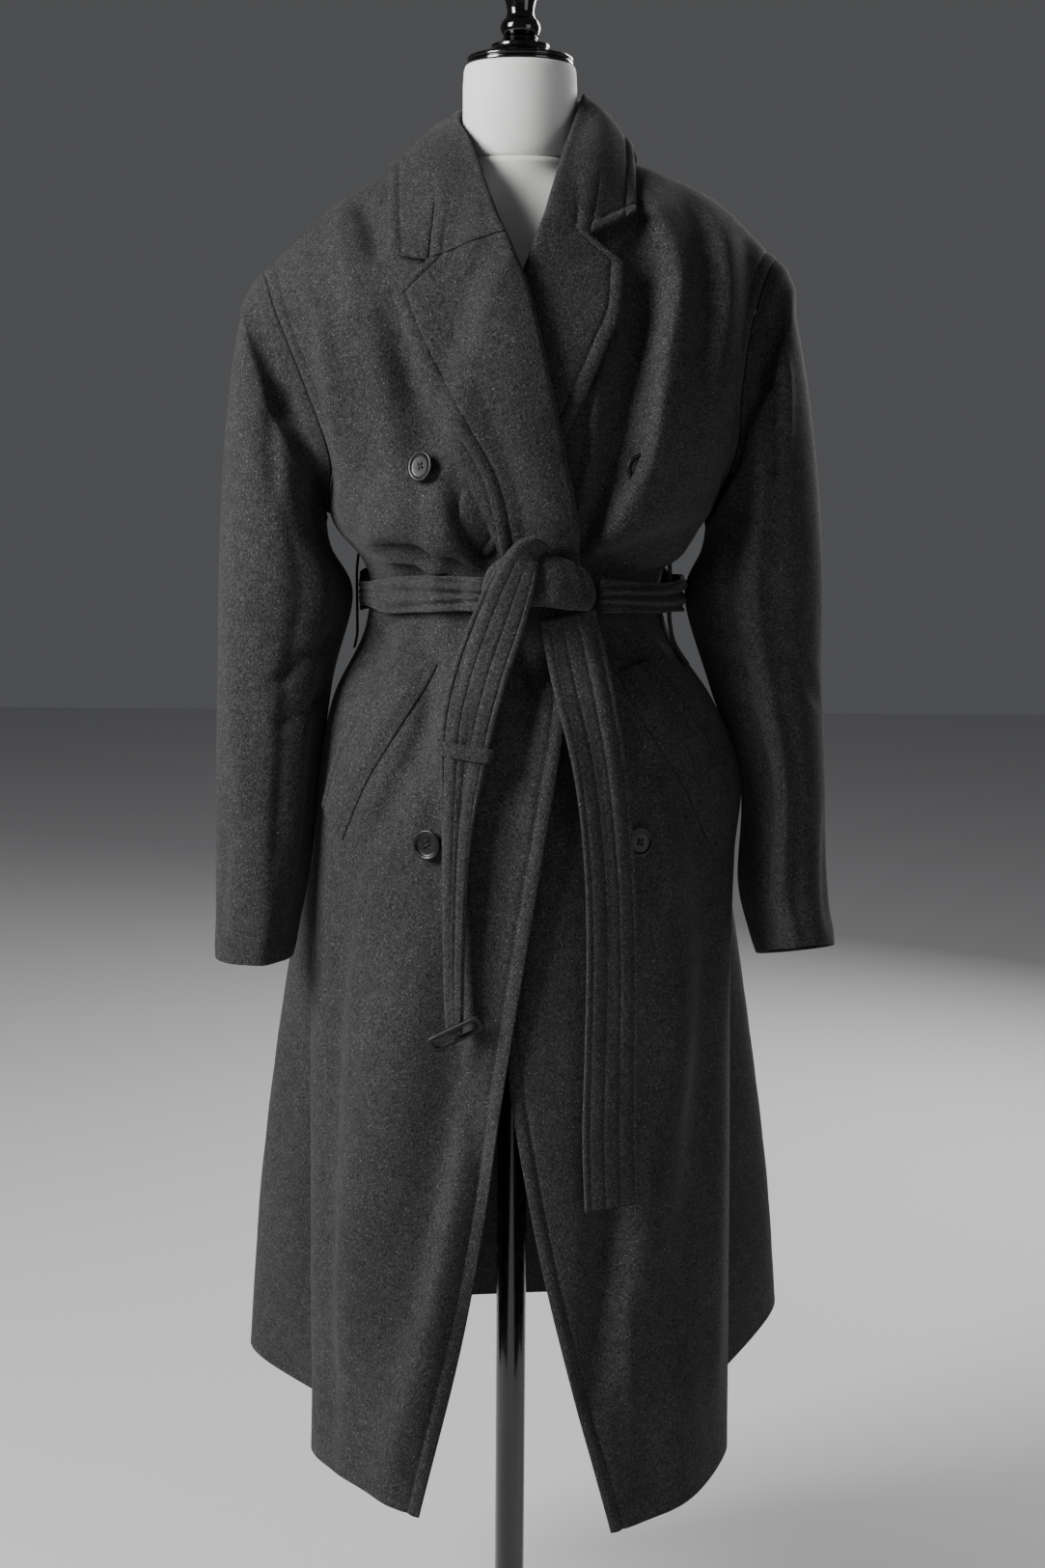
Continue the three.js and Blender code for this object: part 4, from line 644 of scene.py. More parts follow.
right_lapel_x = lapel_edge(RIGHT_LAPEL)
left_lapel_x = lapel_edge(LEFT_LAPEL)


def clear_of_lapels(x, z):
    """0 on the cloth that lies under the lapels, 1 away from them."""
    under = (smooth(-6, 10, x - right_lapel_x(z)) * (1 - smooth(-10, 6, x - left_lapel_x(z)))
             * smooth(1224, 1244, z))
    return 1 - under


def clear_of_belt(z):
    """0 on the cloth that the belt holds, 1 away from it."""
    return 1 - smooth(1158, 1172, z) * (1 - smooth(1208, 1224, z))


def front_height(x, z):
    main = sum(fold_height(fold, x, z) for fold in FRONT_FOLDS)
    fine = sum(crease_height(crease, x, z) for crease in FRONT_CREASES)
    fine = fine + sum(fold_height(fold, x, z) for fold in CROSS_FOLDS)
    return main + fine * clear_of_lapels(x, z) * clear_of_belt(z)


def main_front_height(x, z):
    return sum(fold_height(fold, x, z) for fold in FRONT_FOLDS)


def back_height(x, z):
    fine = sum(crease_height(crease, x, z) for crease in BACK_CREASES)
    return sum(fold_height(fold, x, z) for fold in BACK_FOLDS) + fine * clear_of_belt(z)


def cloth_point(surface, side, height, u, reach, lift):
    """A point of the cloth, lift outside its sheet, with its folds, and its outward normal."""
    p = surface(u, reach)
    fade = smooth(0, 0.05, u) * (1 - smooth(0.95, 1, u))
    normal = normal_of(surface, u, reach, side)
    out = lift + height(p[..., 0], p[..., 2]) * fade
    return p + normal * out[..., None], normal


def front_point(u, reach, lift):
    return cloth_point(front_sheet, 1, front_height, u, reach, lift)


def plain_front_point(u, reach, lift):
    return cloth_point(front_sheet, 1, main_front_height, u, reach, lift)


def back_point(u, reach, lift):
    return cloth_point(back_sheet, -1, back_height, u, reach, lift)


# ---- closed shells ----------------------------------------------------------------------------

BEAD = (0, 0.4, 1.0, 1.9, 3.2, 5)                 # columns close to an edge that is rounded off
STITCHED = (0, 0.4, 1.0, 1.9, 3.2, 5, 7.5, 10, 11.4, 12.3, 13, 13.7, 14.6, 16, 18.5)


def spaced(length, start, end, count):
    """Places along a length: start's and end's distances from its ends, and count between."""
    start = np.asarray(start, float)
    end = np.asarray(end, float)
    between = np.linspace(start[-1], length - end[-1], count + 2)[1:-1]
    return np.concatenate([start, between, length - end[::-1]])


def round_off(distance, radius):
    """1 inside, falling to 0 at an edge on a quarter round."""
    return np.sqrt(np.clip(1 - np.square(1 - np.clip(distance / radius, 0, 1)), 0, 1))


def groove(distance):
    return -GROOVE_DEPTH * bell(distance / GROOVE_WIDTH)


def wall_mesh(name, outer, inner, ring=False, thread=None):
    """A closed mesh between two grids of points in millimetres. thread gives each point's place
    along the topstitching and its distance from it."""
    rows, columns = outer.shape[:2]
    far = rows * columns
    index = np.arange(far).reshape(rows, columns)
    if ring:
        index = np.concatenate([index, index[:, :1]], axis=1)

    def quads(a, b, c, d):
        return np.stack([a, b, c, d], axis=-1).reshape(-1, 4)

    a, b, c, d = index[:-1, :-1], index[:-1, 1:], index[1:, 1:], index[1:, :-1]
    faces = [quads(a, b, c, d), quads(a, d, c, b) + far]
    first, last = index[0], index[-1]
    faces.append(quads(first[:-1], first[:-1] + far, first[1:] + far, first[1:]))
    faces.append(quads(last[:-1], last[1:], last[1:] + far, last[:-1] + far))
    if not ring:
        start, end = index[:, 0], index[:, -1]
        faces.append(quads(start[:-1], start[1:], start[1:] + far, start[:-1] + far))
        faces.append(quads(end[:-1], end[:-1] + far, end[1:] + far, end[1:]))
    faces = np.concatenate(faces)
    points = np.concatenate([outer.reshape(-1, 3), inner.reshape(-1, 3)]) * MM
    p = points[faces]
    volume = np.einsum("ij,ij->i", p[:, 0], np.cross(p[:, 1], p[:, 2])).sum()
    volume += np.einsum("ij,ij->i", p[:, 0], np.cross(p[:, 2], p[:, 3])).sum()
    if volume < 0:
        faces = faces[:, ::-1]
    mesh = bpy.data.meshes.new(name)
    mesh.from_pydata(points.tolist(), [], faces.tolist())
    if thread is None:
        thread = np.stack([np.zeros((rows, columns)), np.full((rows, columns), NO_STITCH)], -1)
    both = np.concatenate([thread.reshape(-1, 2), thread.reshape(-1, 2)])
    corners = np.empty(len(mesh.loops), int)
    mesh.loops.foreach_get("vertex_index", corners)
    layer = mesh.uv_layers.new(name="thread")
    layer.data.foreach_set("uv", both[corners].ravel())
    mesh.shade_smooth()
    mesh.validate()
    return mesh


def place(name, mesh, material, node):
    """Adds a finished piece that stands for a CAD node."""
    piece = bpy.data.objects.new(name, mesh)
    bpy.context.scene.collection.objects.link(piece)
    mesh.materials.append(material)
    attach(piece, "root")
    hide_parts(node)
    return piece


def layers(middle, normal, thickness, profile):
    """The outer and inner faces of a shell about its middle surface."""
    half = (thickness / 2 * profile)[..., None] * normal
    return middle + half, middle - half


def grid_normal(points, ring=False):
    """Normals of a grid of points, rows by columns."""
    if ring:
        wide = np.concatenate([points[:, -1:], points, points[:, :1]], axis=1)
        across = wide[:, 2:] - wide[:, :-2]
    else:
        across = np.gradient(points, axis=1)
    up = np.gradient(points, axis=0)
    return unit(np.cross(across, up))


# ---- fronts and back --------------------------------------------------------------------------


def panel(point, surface, ranges, lift, edges, middle_columns, dip=None):
    """The two faces and the thread places of a panel. ranges gives u of its two ends at each
    reach, and edges the topstitched ends, as functions of the reach that give 0 to 1."""
    reaches = spaced(REACH[TOP] - HALF_GAP - REACH[0], BEAD, BEAD, 196) + REACH[0]
    start, end = ranges(reaches)
    samples = mix(start[:, None], end[:, None], np.linspace(0, 1, 61)[None])
    line = surface(samples, reaches[:, None])
    steps = np.linalg.norm(np.diff(line, axis=1), axis=2)
    length = np.concatenate([np.zeros((len(reaches), 1)), np.cumsum(steps, axis=1)], axis=1)
    places = np.array([spaced(row[-1], STITCHED, STITCHED, middle_columns) for row in length])
    u = np.array([np.interp(q, row, us) for q, row, us in zip(places, length, samples)])
    from_start = places
    from_end = length[:, -1:] - places
    v = np.broadcast_to(reaches[:, None], u.shape).copy()
    if dip is not None:
        v -= dip(u) * smooth(REACH[TOP - 2], REACH[TOP], v)
    sewn = np.minimum(
        np.where(edges[0](v) > 0.02, np.abs(from_start - STITCH_IN), NO_STITCH),
        np.where(edges[1](v) > 0.02, np.abs(from_end - STITCH_IN), NO_STITCH))
    sunk = (edges[0](v) * groove(from_start - STITCH_IN)
            + edges[1](v) * groove(from_end - STITCH_IN))
    puff = PUFF * (edges[0](v) * bell((from_start - 6) / 4.5)
                   + edges[1](v) * bell((from_end - 6) / 4.5))
    rim = np.minimum(np.minimum(from_start, from_end),
                     np.minimum(v - REACH[0], reaches[-1] - reaches[:, None] + 0 * v))
    profile = round_off(rim, 1.6)
    middle, normal = point(u, v, lift(u, v) + WALL / 2 + sunk + puff)
    outer, inner = layers(middle, normal, WALL, profile)
    return outer, inner, np.stack([v, sewn], -1)


FRONT_GIRTH = 560
SEAM_TRIM = HALF_GAP / FRONT_GIRTH


def armhole_part(v):
    return smooth(REACH[UNDERARM] + 16, REACH[UNDERARM] + 40, v) * 0.8


def below_break(v):
    return 1 - smooth(1218, 1232, v)


def neck_dip(u):
    x = back_sheet(u, np.full(np.shape(u), REACH[TOP]))[..., 0]
    return NECK_DIP * (1 - smooth(52, 80, np.abs(x)))


def right_range(reach):
    edge = u_at(right_edge(reach) - roll_set_back(reach), reach)
    return np.full(reach.shape, SEAM_TRIM), edge - SEAM_TRIM


def left_range(reach):
    edge = u_at(left_edge(reach) + roll_set_back(reach), reach)
    return edge + SEAM_TRIM, np.full(reach.shape, 1 - SEAM_TRIM)


def back_range(reach):
    return np.full(reach.shape, SEAM_TRIM), np.full(reach.shape, 1 - SEAM_TRIM)


# ---- lapels -----------------------------------------------------------------------------------

ROLL_STEPS = 9
ROLL_IN = 4.4           # how far the roll bulges past the edge of the front
SEAM_ROUND = 0.7        # rounding of an edge that is sewn to the next piece


def roll_set_back(reach):
    """How far inside its edge line a front stops, so that the roll's outside lies on the line."""
    return ROLL_IN * smooth(1262, 1330, reach)


def lapel(table, edge_x, base_lift, swell, side):
    """A lapel's two faces and thread places, from the front's edge round the roll to its own
    outer edge, and the middle line of its top, which the collar is sewn to."""
    count = len(table)
    tip = count - 2
    rows = np.concatenate([np.linspace(0, tip, 120), np.linspace(tip, tip + 1, 40)[1:]])
    knots = np.arange(count - 1)

    def column(values):
        values = np.asarray(values, float)
        curve = table_curve(knots, values[:-1])
        straight = mix(values[tip], values[tip + 1], np.clip(rows - tip, 0, 1))
        return np.where(rows <= tip, curve(rows), straight)

    roll = column([row["roll"] for row in table])
    edge_u, edge_reach = front_at(column([row["edge"][0] for row in table]),
                                  column([row["edge"][1] for row in table]))
    roll_u = u_at(edge_x(roll) - side * roll_set_back(roll), roll)
    width = np.linalg.norm(front_sheet(edge_u, edge_reach) - front_sheet(roll_u, roll), axis=-1)
    places = np.array([spaced(w, (0,), STITCHED, 44) for w in width])
    t = places / width[:, None]
    turn = np.linspace(0, 1, ROLL_STEPS + 1)[:-1]
    low = WALL / 2
    high = WALL + LAPEL_LIFT + LAPEL_WALL / 2 + swell * math.sin(math.pi * 0.1)
    roll_lift = (low + high) / 2 - (high - low) / 2 * np.cos(math.pi * turn)
    beyond = (high - low) / 2 * 0.9 * np.sin(math.pi * turn)
    bow = swell * np.sin(math.pi * np.clip(t * 1.5 + 0.1, 0, 1))
    u = np.concatenate([roll_u[:, None] + side * beyond[None] / FRONT_GIRTH,
                        mix(roll_u[:, None], edge_u[:, None], t)], axis=1)
    v = np.concatenate([np.broadcast_to(roll[:, None], (len(rows), ROLL_STEPS)),
                        mix(roll[:, None], edge_reach[:, None], t)], axis=1)
    from_edge = np.concatenate([np.full((len(rows), ROLL_STEPS), NO_STITCH),
                                width[:, None] - places], axis=1)
    lift = np.concatenate([np.broadcast_to(roll_lift, (len(rows), ROLL_STEPS)),
                           WALL + LAPEL_LIFT + LAPEL_WALL / 2 + bow], axis=1)
    lift = lift + base_lift(u, v)
    sewn = np.abs(from_edge - STITCH_IN)
    lift = lift + groove(from_edge - STITCH_IN) + PUFF * bell((from_edge - 6) / 4.5)
    middle, _ = plain_front_point(u, v, lift)
    step = np.linalg.norm(np.diff(middle, axis=0), axis=2)
    run = np.concatenate([np.zeros((1, u.shape[1])), np.cumsum(step, axis=0)])
    from_top = run[-1:] - run
    normal = grid_normal(middle)
    facing = np.sign(np.einsum("ijk,k->ij", normal, (0, -1, 0)).mean())
    normal = normal * facing
    profile = np.minimum(round_off(from_edge, 2.2), round_off(from_top, SEAM_ROUND))
    outer, inner = layers(middle, normal, LAPEL_WALL, profile)
    return outer, inner, np.stack([run, sewn], -1), middle[-1]


# ---- collar -----------------------------------------------------------------------------------

COLLAR_WALL = 3.8
NOTCH_PLACE = 64        # the notch's place among the samples of a section
FOLD_PLACE = 32
SECTION_SAMPLES = 81
FLUSH_ROWS = 1.6        # rows of the table over which the collar comes level with a lapel


def along_line(points, count):
    """Points spread evenly along a line of points."""
    length = np.concatenate([[0], np.cumsum(np.linalg.norm(np.diff(points, axis=0), axis=1))])
    want = np.linspace(0, length[-1], count)
    return np.stack([np.interp(want, length, points[:, k]) for k in range(3)], -1)


def meet_lapel(fine, row_at, top_line):
    """Moves one end of the collar on to a lapel's top line, up to the notch."""
    roll = along_line(top_line[:ROLL_STEPS + 1], FOLD_PLACE + 1)
    face = along_line(top_line[ROLL_STEPS:], NOTCH_PLACE - FOLD_PLACE + 1)
    want = fine[0].copy()
    want[:FOLD_PLACE + 1] = roll
    want[FOLD_PLACE:NOTCH_PLACE + 1] = face
    left = 1 - np.linspace(0, 1, SECTION_SAMPLES - NOTCH_PLACE)[:, None]
    want[NOTCH_PLACE:] += (face[-1] - fine[0, NOTCH_PLACE]) * left
    onward = unit(fine[4] - fine[0]) * (SEAM + 0.25)
    shift = want + onward - fine[0]
    return fine + shift[None] * (1 - smooth(0, FLUSH_ROWS, row_at))[:, None, None]


def collar(right_top, left_top):
    """The two faces of the collar: it stands up from the neckline and folds over."""
    parts = np.array([[row[key] for key in ("foot", "fold", "middle", "edge")]
                      for row in COLLAR_ROWS], float)
    foot, fold, middle, edge = parts.transpose(1, 0, 2)
    sections = np.stack([foot, mix(fold, foot, 0.22), fold, mix(fold, middle, 0.25), middle,
                         edge], axis=1)
    last = len(sections) - 1
    row_at = np.concatenate([np.array([0, 0.005, 0.012, 0.025, 0.05, 0.09, 0.14]),
                             np.linspace(0.2, last - 0.2, 190),
                             last - np.array([0.14, 0.09, 0.05, 0.025, 0.012, 0.005, 0])])
    rows = table_curve(np.arange(len(sections)), sections)(row_at)
    across = table_curve(np.array([0, 1, 2, 3, 4, 5]), rows.transpose(1, 0, 2))
    fine = across(np.linspace(0, 5, SECTION_SAMPLES)).transpose(1, 0, 2)
    fine = meet_lapel(fine, row_at, right_top)
    fine = meet_lapel(fine[::-1], (last - row_at)[::-1], left_top)[::-1]
    steps = np.linalg.norm(np.diff(fine, axis=1), axis=2)
    length = np.concatenate([np.zeros((len(fine), 1)), np.cumsum(steps, axis=1)], axis=1)
    points, places, past_notch = [], [], []
    for row, run in zip(fine, length):
        place_at = spaced(run[-1], BEAD, STITCHED, 56)
        places.append(place_at)
        past_notch.append(place_at - run[NOTCH_PLACE])
        points.append(np.stack([np.interp(place_at, run, row[:, k]) for k in range(3)], -1))
    middle, places, past_notch = np.array(points), np.array(places), np.array(past_notch)
    from_edge = length[:, -1:] - places
    step = np.linalg.norm(np.diff(middle, axis=0), axis=2)
    run = np.concatenate([np.zeros((1, middle.shape[1])), np.cumsum(step, axis=0)])
    from_end = np.minimum(run, run[-1:] - run)
    free = smooth(-2, 3, past_notch)
    to_stitch = np.minimum(np.abs(from_edge - STITCH_IN),
                           np.where(past_notch > STITCH_IN - 1, np.abs(from_end - STITCH_IN),
                                    NO_STITCH))
    normal = grid_normal(middle)
    centre = middle[len(middle) // 2, -1]
    facing = np.sign(normal[len(middle) // 2, -1] @ (centre * (0, 1, 0)))
    normal = normal * facing
    lift = (groove(to_stitch)
            + PUFF * np.maximum(bell((from_edge - 6) / 4.5), free * bell((from_end - 6) / 4.5)))
    middle = middle + normal * lift[..., None]
    profile = np.minimum(round_off(np.minimum(from_edge, places), 2.2),
                         round_off(from_end, mix(SEAM_ROUND, 2.2, free)))
    outer, inner = layers(middle, normal, COLLAR_WALL, profile)
    return outer, inner, np.stack([run, to_stitch], -1)


# ---- sleeves ----------------------------------------------------------------------------------

CREASE_TURN = 0.19
CREASE_DEPTH = 6
SLEEVE_GIRTH = 400
SLEEVE_COLUMNS = 112
UNDERARM_OUT = WALL + 1.6
HEAD_STEP = 14          # where the head of the sleeve starts to turn down
HEAD_PLACE = 0.14
CUFF_PUFF = 1.2

# Creases of a sleeve, from one [turn, z] to another, width in millimetres across.
RIGHT_SLEEVE_CREASES = [
    {"from": (0.20, 1300), "to": (0.19, 900), "width": 22, "depth": -6},
    {"from": (0.14, 1300), "to": (0.13, 880), "width": 18, "depth": 5},
    {"from": (0.27, 1420), "to": (0.23, 1280), "width": 20, "depth": -5},
    {"from": (0.08, 1150), "to": (0.24, 1098), "width": 16, "depth": -4},
    {"from": (0.06, 1090), "to": (0.22, 1060), "width": 14, "depth": -3.5},
    {"from": (0.40, 1180), "to": (0.30, 980), "width": 30, "depth": 3},
    {"from": (0.62, 1300), "to": (0.70, 1100), "width": 26, "depth": -5},
    {"from": (0.80, 1240), "to": (0.72, 960), "width": 24, "depth": -5},
    {"from": (0.70, 1120), "to": (0.86, 1080), "width": 16, "depth": -5},
    {"from": (0.66, 1060), "to": (0.84, 1040), "width": 16, "depth": -4},
    {"from": (0.36, 960), "to": (0.40, 850), "width": 26, "depth": -2.5},
]
LEFT_SLEEVE_CREASES = [
    {"from": (0.235, 1400), "to": (0.225, 850), "width": 20, "depth": 6},
    {"from": (0.175, 1380), "to": (0.17, 860), "width": 24, "depth": -7},
    {"from": (0.30, 1440), "to": (0.27, 1300), "width": 16, "depth": -5},
    {"from": (0.35, 1420), "to": (0.31, 1330), "width": 14, "depth": 4},
    {"from": (0.28, 1140), "to": (0.42, 1080), "width": 18, "depth": -3},
    {"from": (0.12, 1130), "to": (0.24, 1090), "width": 16, "depth": -4},
    {"from": (0.62, 1300), "to": (0.68, 1100), "width": 26, "depth": -5},
    {"from": (0.80, 1240), "to": (0.74, 960), "width": 24, "depth": -5},
    {"from": (0.68, 1110), "to": (0.86, 1070), "width": 16, "depth": -5},
    {"from": (0.44, 980), "to": (0.40, 860), "width": 26, "depth": -2.5},
]


def armhole(side, turn):
    """Points round an armhole, and the coat's outward normal and its direction past the edge."""
    u = 0.0 if side < 0 else 1.0
    reach = np.linspace(REACH[UNDERARM], REACH[TOP], 121)
    halves = []
    for surface, facing in ((front_sheet, 1), (back_sheet, -1)):
        line = surface(np.full(reach.shape, u), reach)
        normal = normal_of(surface, np.full(reach.shape, u), reach, facing)
        past = surface(np.full(reach.shape, u), reach) - surface(
            np.full(reach.shape, u - side * 0.01), reach)
        course = unit(np.gradient(line, axis=0))
        past = unit(past - np.einsum("ij,ij->i", past, course)[:, None] * course)
        length = np.concatenate([[0], np.cumsum(np.linalg.norm(np.diff(line, axis=0), axis=1))])
        halves.append((np.concatenate([line, normal, past], axis=1), length))
    found = []
    for t in turn:
        table, length = halves[0] if t <= 0.5 else halves[1]
        want = length[-1] * (t * 2 if t <= 0.5 else 2 - t * 2)
        found.append([np.interp(want, length, table[:, k]) for k in range(9)])
    found = np.array(found)
    for _ in range(6):
        found[:, 3:] = (np.roll(found[:, 3:], 1, axis=0) + 2 * found[:, 3:]
                        + np.roll(found[:, 3:], -1, axis=0)) / 4
    return found[:, :3], unit(found[:, 3:6]), unit(found[:, 6:])


def sleeve(table, creases):
    side = table["side"]
    turn = np.arange(SLEEVE_COLUMNS) / SLEEVE_COLUMNS
    angle = turn * 2 * math.pi
    outward, forward = -np.cos(angle), np.sin(angle)
    crease = CREASE_DEPTH * bell((turn - CREASE_TURN) / 0.045)
    hole, normal, past = armhole(side, turn)
    under = np.square(np.maximum(0, np.cos(angle)))[:, None]
    start = mix(hole + normal * WALL + past * (SEAM + 0.1), hole + (side * UNDERARM_OUT, 0, 0),
                under)
    rings = []
    for ring in table["rings"]:
        x, y, z = ring["middle"]
        rings.append(np.stack([x + side * (ring["across"] + crease) * outward,
                               y - (ring["deep"] + crease) * forward,
                               z + ring["outer_rise"] * outward + ring["front_rise"] * forward],
                              -1))
    gap = np.linalg.norm(rings[0] - start, axis=-1, keepdims=True)
    lead = unit(mix(past, unit(rings[0] - start), 0.35))
    head = start + lead * np.minimum(HEAD_STEP, 0.3 * gap)
    rings = [start, head] + rings
    knots = np.concatenate([[0, HEAD_PLACE], np.arange(1, len(rings) - 1)])
    last = len(rings) - 2
    rows = np.concatenate([[0, 0.004, 0.01, 0.02, 0.035, 0.055, 0.08, 0.11, 0.14, 0.18, 0.23],
                           np.linspace(0.28, last - 0.04, 140),
                           last - np.array([0.03, 0.018, 0.009, 0.004, 0])])
    middle = table_curve(knots, np.array(rings))(rows)
    normal = grid_normal(middle, ring=True)
    axis = middle.mean(axis=1, keepdims=True)
    facing = np.sign(np.einsum("ijk,ijk->ij", normal, middle - axis).mean())
    normal = normal * facing
    z = middle[..., 2]
    bend = np.broadcast_to(turn[None] * SLEEVE_GIRTH, z.shape)
    out = 0
    for c in creases:
        (t0, z0), (t1, z1) = c["from"], c["to"]
        out = out + fold_height({**c, "from": (t0 * SLEEVE_GIRTH, z0),
                                 "to": (t1 * SLEEVE_GIRTH, z1)}, bend, z)
    away = smooth(0, 0.35, rows)[:, None]
    step = np.linalg.norm(np.diff(middle, axis=0), axis=2)
    run = np.concatenate([np.zeros((1, len(turn))), np.cumsum(step, axis=0)])
    ease = 2.2 * bell((run - 10) / 7) + CUFF_PUFF * bell((run[-1:] - run - 12) / 16)
    middle = middle + normal * (out * away + ease - WALL / 2)[..., None]
    rim = np.minimum(run, run[-1:] - run)
    outer, inner = layers(middle, normal, WALL, round_off(rim, 1.6))
    return outer, inner


# ---- belt -------------------------------------------------------------------------------------

KNOT_FROM = -24
KNOT_TO = 66
KNOT_OUT = 26
CHANNELS = (-20, -7, 7, 20)          # rows of topstitching, from the middle of the belt
FLAT_HALF = 26                       # half the belt's width where it hangs flat

# Folds of the band at the knot: height across the belt there and 90 mm on, width, depth.
BAND_FOLDS = ((5, 13, 3.2, 3.4), (0, 3, 2.4, -3.2), (-4, -6, 3.0, 2.8), (-8, -15, 2.4, -2.6),
              (9, 19, 2.2, -2.4))


def channel_height(across, scale=1.0):
    """Height of the belt's face across its width, pulled in at each row of topstitching."""
    height = np.zeros(np.shape(across))
    for line in CHANNELS:
        height = height - 1.1 * bell((across - line * scale) / 2.0)
    return height


def channel_distance(across, scale=1.0):
    return np.min([np.abs(across - line * scale) for line in CHANNELS], axis=0)


def belt_band():
    waist = REACH[WAIST]
    start_u = float(u_at(KNOT_FROM, waist))
    end_u = float(u_at(KNOT_TO, waist))
    path = np.concatenate([
        front_sheet(np.linspace(start_u, 0, 100)[:-1], waist),
        back_sheet(np.linspace(0, 1, 170)[:-1], waist),
        front_sheet(np.linspace(1, end_u, 80), waist)])
    y = path[:, 1]
    in_front = y < 0
    lap = np.where(in_front, lap_lift(path[:, 0], waist), 0)
    from_knot = np.maximum(KNOT_FROM - path[:, 0], path[:, 0] - KNOT_TO)
    near = np.where(in_front, 1 - smooth(0, 46, from_knot), 0)
    clear = WALL + BELT_LIFT + BELT_WALL + np.maximum(lap, KNOT_OUT * near)
    along = np.gradient(path, axis=0)
    out = unit(np.stack([along[:, 1], -along[:, 0], 0 * along[:, 0]], -1))
    out *= np.sign(np.einsum("ij,ij->i", out, path * (1, 1, 0)))[:, None]
    run = np.concatenate([[0], np.cumsum(np.linalg.norm(np.diff(path, axis=0), axis=1))])
    rolled = np.where(in_front, 0.34 * bell((path[:, 0] + 140) / 16), 0)
    high = (mix(BAND_FRONT, BAND_BACK, smooth(-60, 60, y)) * (1 - rolled))[:, None]
    rise = (KNOT_RISE * (1 - smooth(-150, -60, y)))[:, None]
    across = (spaced(2.0, np.array(BEAD) / 23, np.array(BEAD) / 23, 32) - 1)[None] * high / 2
    scale = high / (2 * FLAT_HALF)
    folded = np.where(in_front, 1 - smooth(60, 130, from_knot), 0)[:, None]
    reach = np.clip(from_knot, 0, 200)[:, None]
    height = channel_height(across, scale) * (1 - 0.7 * folded)
    for at_knot, further, width, depth in BAND_FOLDS:
        line = (at_knot + (further - at_knot) * np.minimum(reach / 90, 1.3)) * high / 40
        height = height + folded * depth * bell((across - line) / width)
    height = height + 1.2 * np.sin(run[:, None] / 23 + across / 30) * (1 - folded)
    tilt = (2.6 * np.sin(run / 60) * (1 - near))[:, None]
    middle = path[:, None] + out[:, None] * (clear[:, None] + BELT_WALL / 2 + height)[..., None]
    middle[..., 2] = BELT_HEIGHT + rise + across + tilt * across / 26
    normal = np.broadcast_to(out[:, None], middle.shape)
    rim = np.minimum(high / 2 - np.abs(across), np.minimum(run, run[-1] - run)[:, None])
    outer, inner = layers(middle, normal, BELT_WALL, round_off(rim, 2.0))
    sewn = np.where(folded > 0.5, NO_STITCH, channel_distance(across, scale))
    thread = np.stack(np.broadcast_arrays(run[:, None], sewn), -1)
    return outer, inner, thread


def strip(rows, thickness, steps, folds=(), sewn_from=0):
    """A flat hanging end of the belt: its two faces and thread places."""
    knots = np.arange(len(rows))
    at = table_curve(knots, [row["at"] for row in rows])
    half = table_curve(knots, [row["half"] for row in rows])
    off = table_curve(knots, [row["off"] for row in rows])
    k = np.linspace(0, len(rows) - 1, steps)
    line = at(k)
    direction = unit(at(k + 0.01) - at(k - 0.01))
    bead = np.array(BEAD) / FLAT_HALF
    across = spaced(2.0, bead, bead, 38) - 1
    offset = across[None] * half(k)[:, None]
    x = line[:, :1] - offset * direction[:, 1:]
    z = line[:, 1:] + offset * direction[:, :1]
    u, reach = front_at(x, z)
    y = front_sheet(u, reach)[..., 1]
    run = np.concatenate([[0], np.cumsum(np.linalg.norm(np.diff(line, axis=0), axis=1))])
    scale = half(k)[:, None] / FLAT_HALF
    sewn_part = smooth(sewn_from - 20, sewn_from + 20, run)[:, None]
    even = offset / np.maximum(scale, 0.3)
    height = channel_height(even) * np.minimum(scale, 1) * sewn_part
    for fold in folds:
        part = smooth(*fold["in"], run) * (1 - smooth(*fold["out"], run))
        shift = fold.get("lean", 0) * run[:, None] / run[-1]
        if fold.get("step"):
            shape = 1 - smooth(fold["across"] - fold["width"], fold["across"] + fold["width"],
                               across[None] - shift)
        else:
            shape = bell((across[None] - fold["across"] - shift) / fold["width"])
        height = height + fold["depth"] * part[:, None] * shape
    middle = np.stack([x, y - off(k)[:, None] - thickness / 2 - height, z], -1)
    normal = grid_normal(middle)
    facing = np.sign(np.einsum("ijk,k->ij", normal, (0, -1, 0)).mean())
    rim = np.minimum(half(k)[:, None] - np.abs(offset), np.minimum(run, run[-1] - run)[:, None])
    outer, inner = layers(middle, normal * facing, thickness, round_off(rim, thickness / 2))
    distance = np.where(sewn_part > 0.5, channel_distance(even), NO_STITCH)
    thread = np.stack(np.broadcast_arrays(run[:, None], distance), -1)
    return outer, inner, thread


def solid_mesh(name, rings):
    """A closed mesh through rings of points in millimetres, with a fan at both ends."""
    count, columns = rings.shape[:2]
    points = list(rings.reshape(-1, 3) * MM)
    faces = []
    for i in range(count - 1):
        for j in range(columns):
            a, b = i * columns + j, i * columns + (j + 1) % columns
            faces.append((a, b, b + columns, a + columns))
    for row, turn in ((0, False), (count - 1, True)):
        points.append(rings[row].mean(axis=0) * MM)
        for j in range(columns):
            a, b = row * columns + j, row * columns + (j + 1) % columns
            faces.append((a, b, len(points) - 1) if turn else (b, a, len(points) - 1))
    mesh = bpy.data.meshes.new(name)
    mesh.from_pydata([tuple(p) for p in points], [], faces)
    volume = 0.0
    for polygon in mesh.polygons:
        corners = [mesh.vertices[v].co for v in polygon.vertices]
        for k in range(1, len(corners) - 1):
            volume += corners[0].dot(corners[k].cross(corners[k + 1]))
    if volume < 0:
        mesh.flip_normals()
    mesh.shade_smooth()
    return mesh


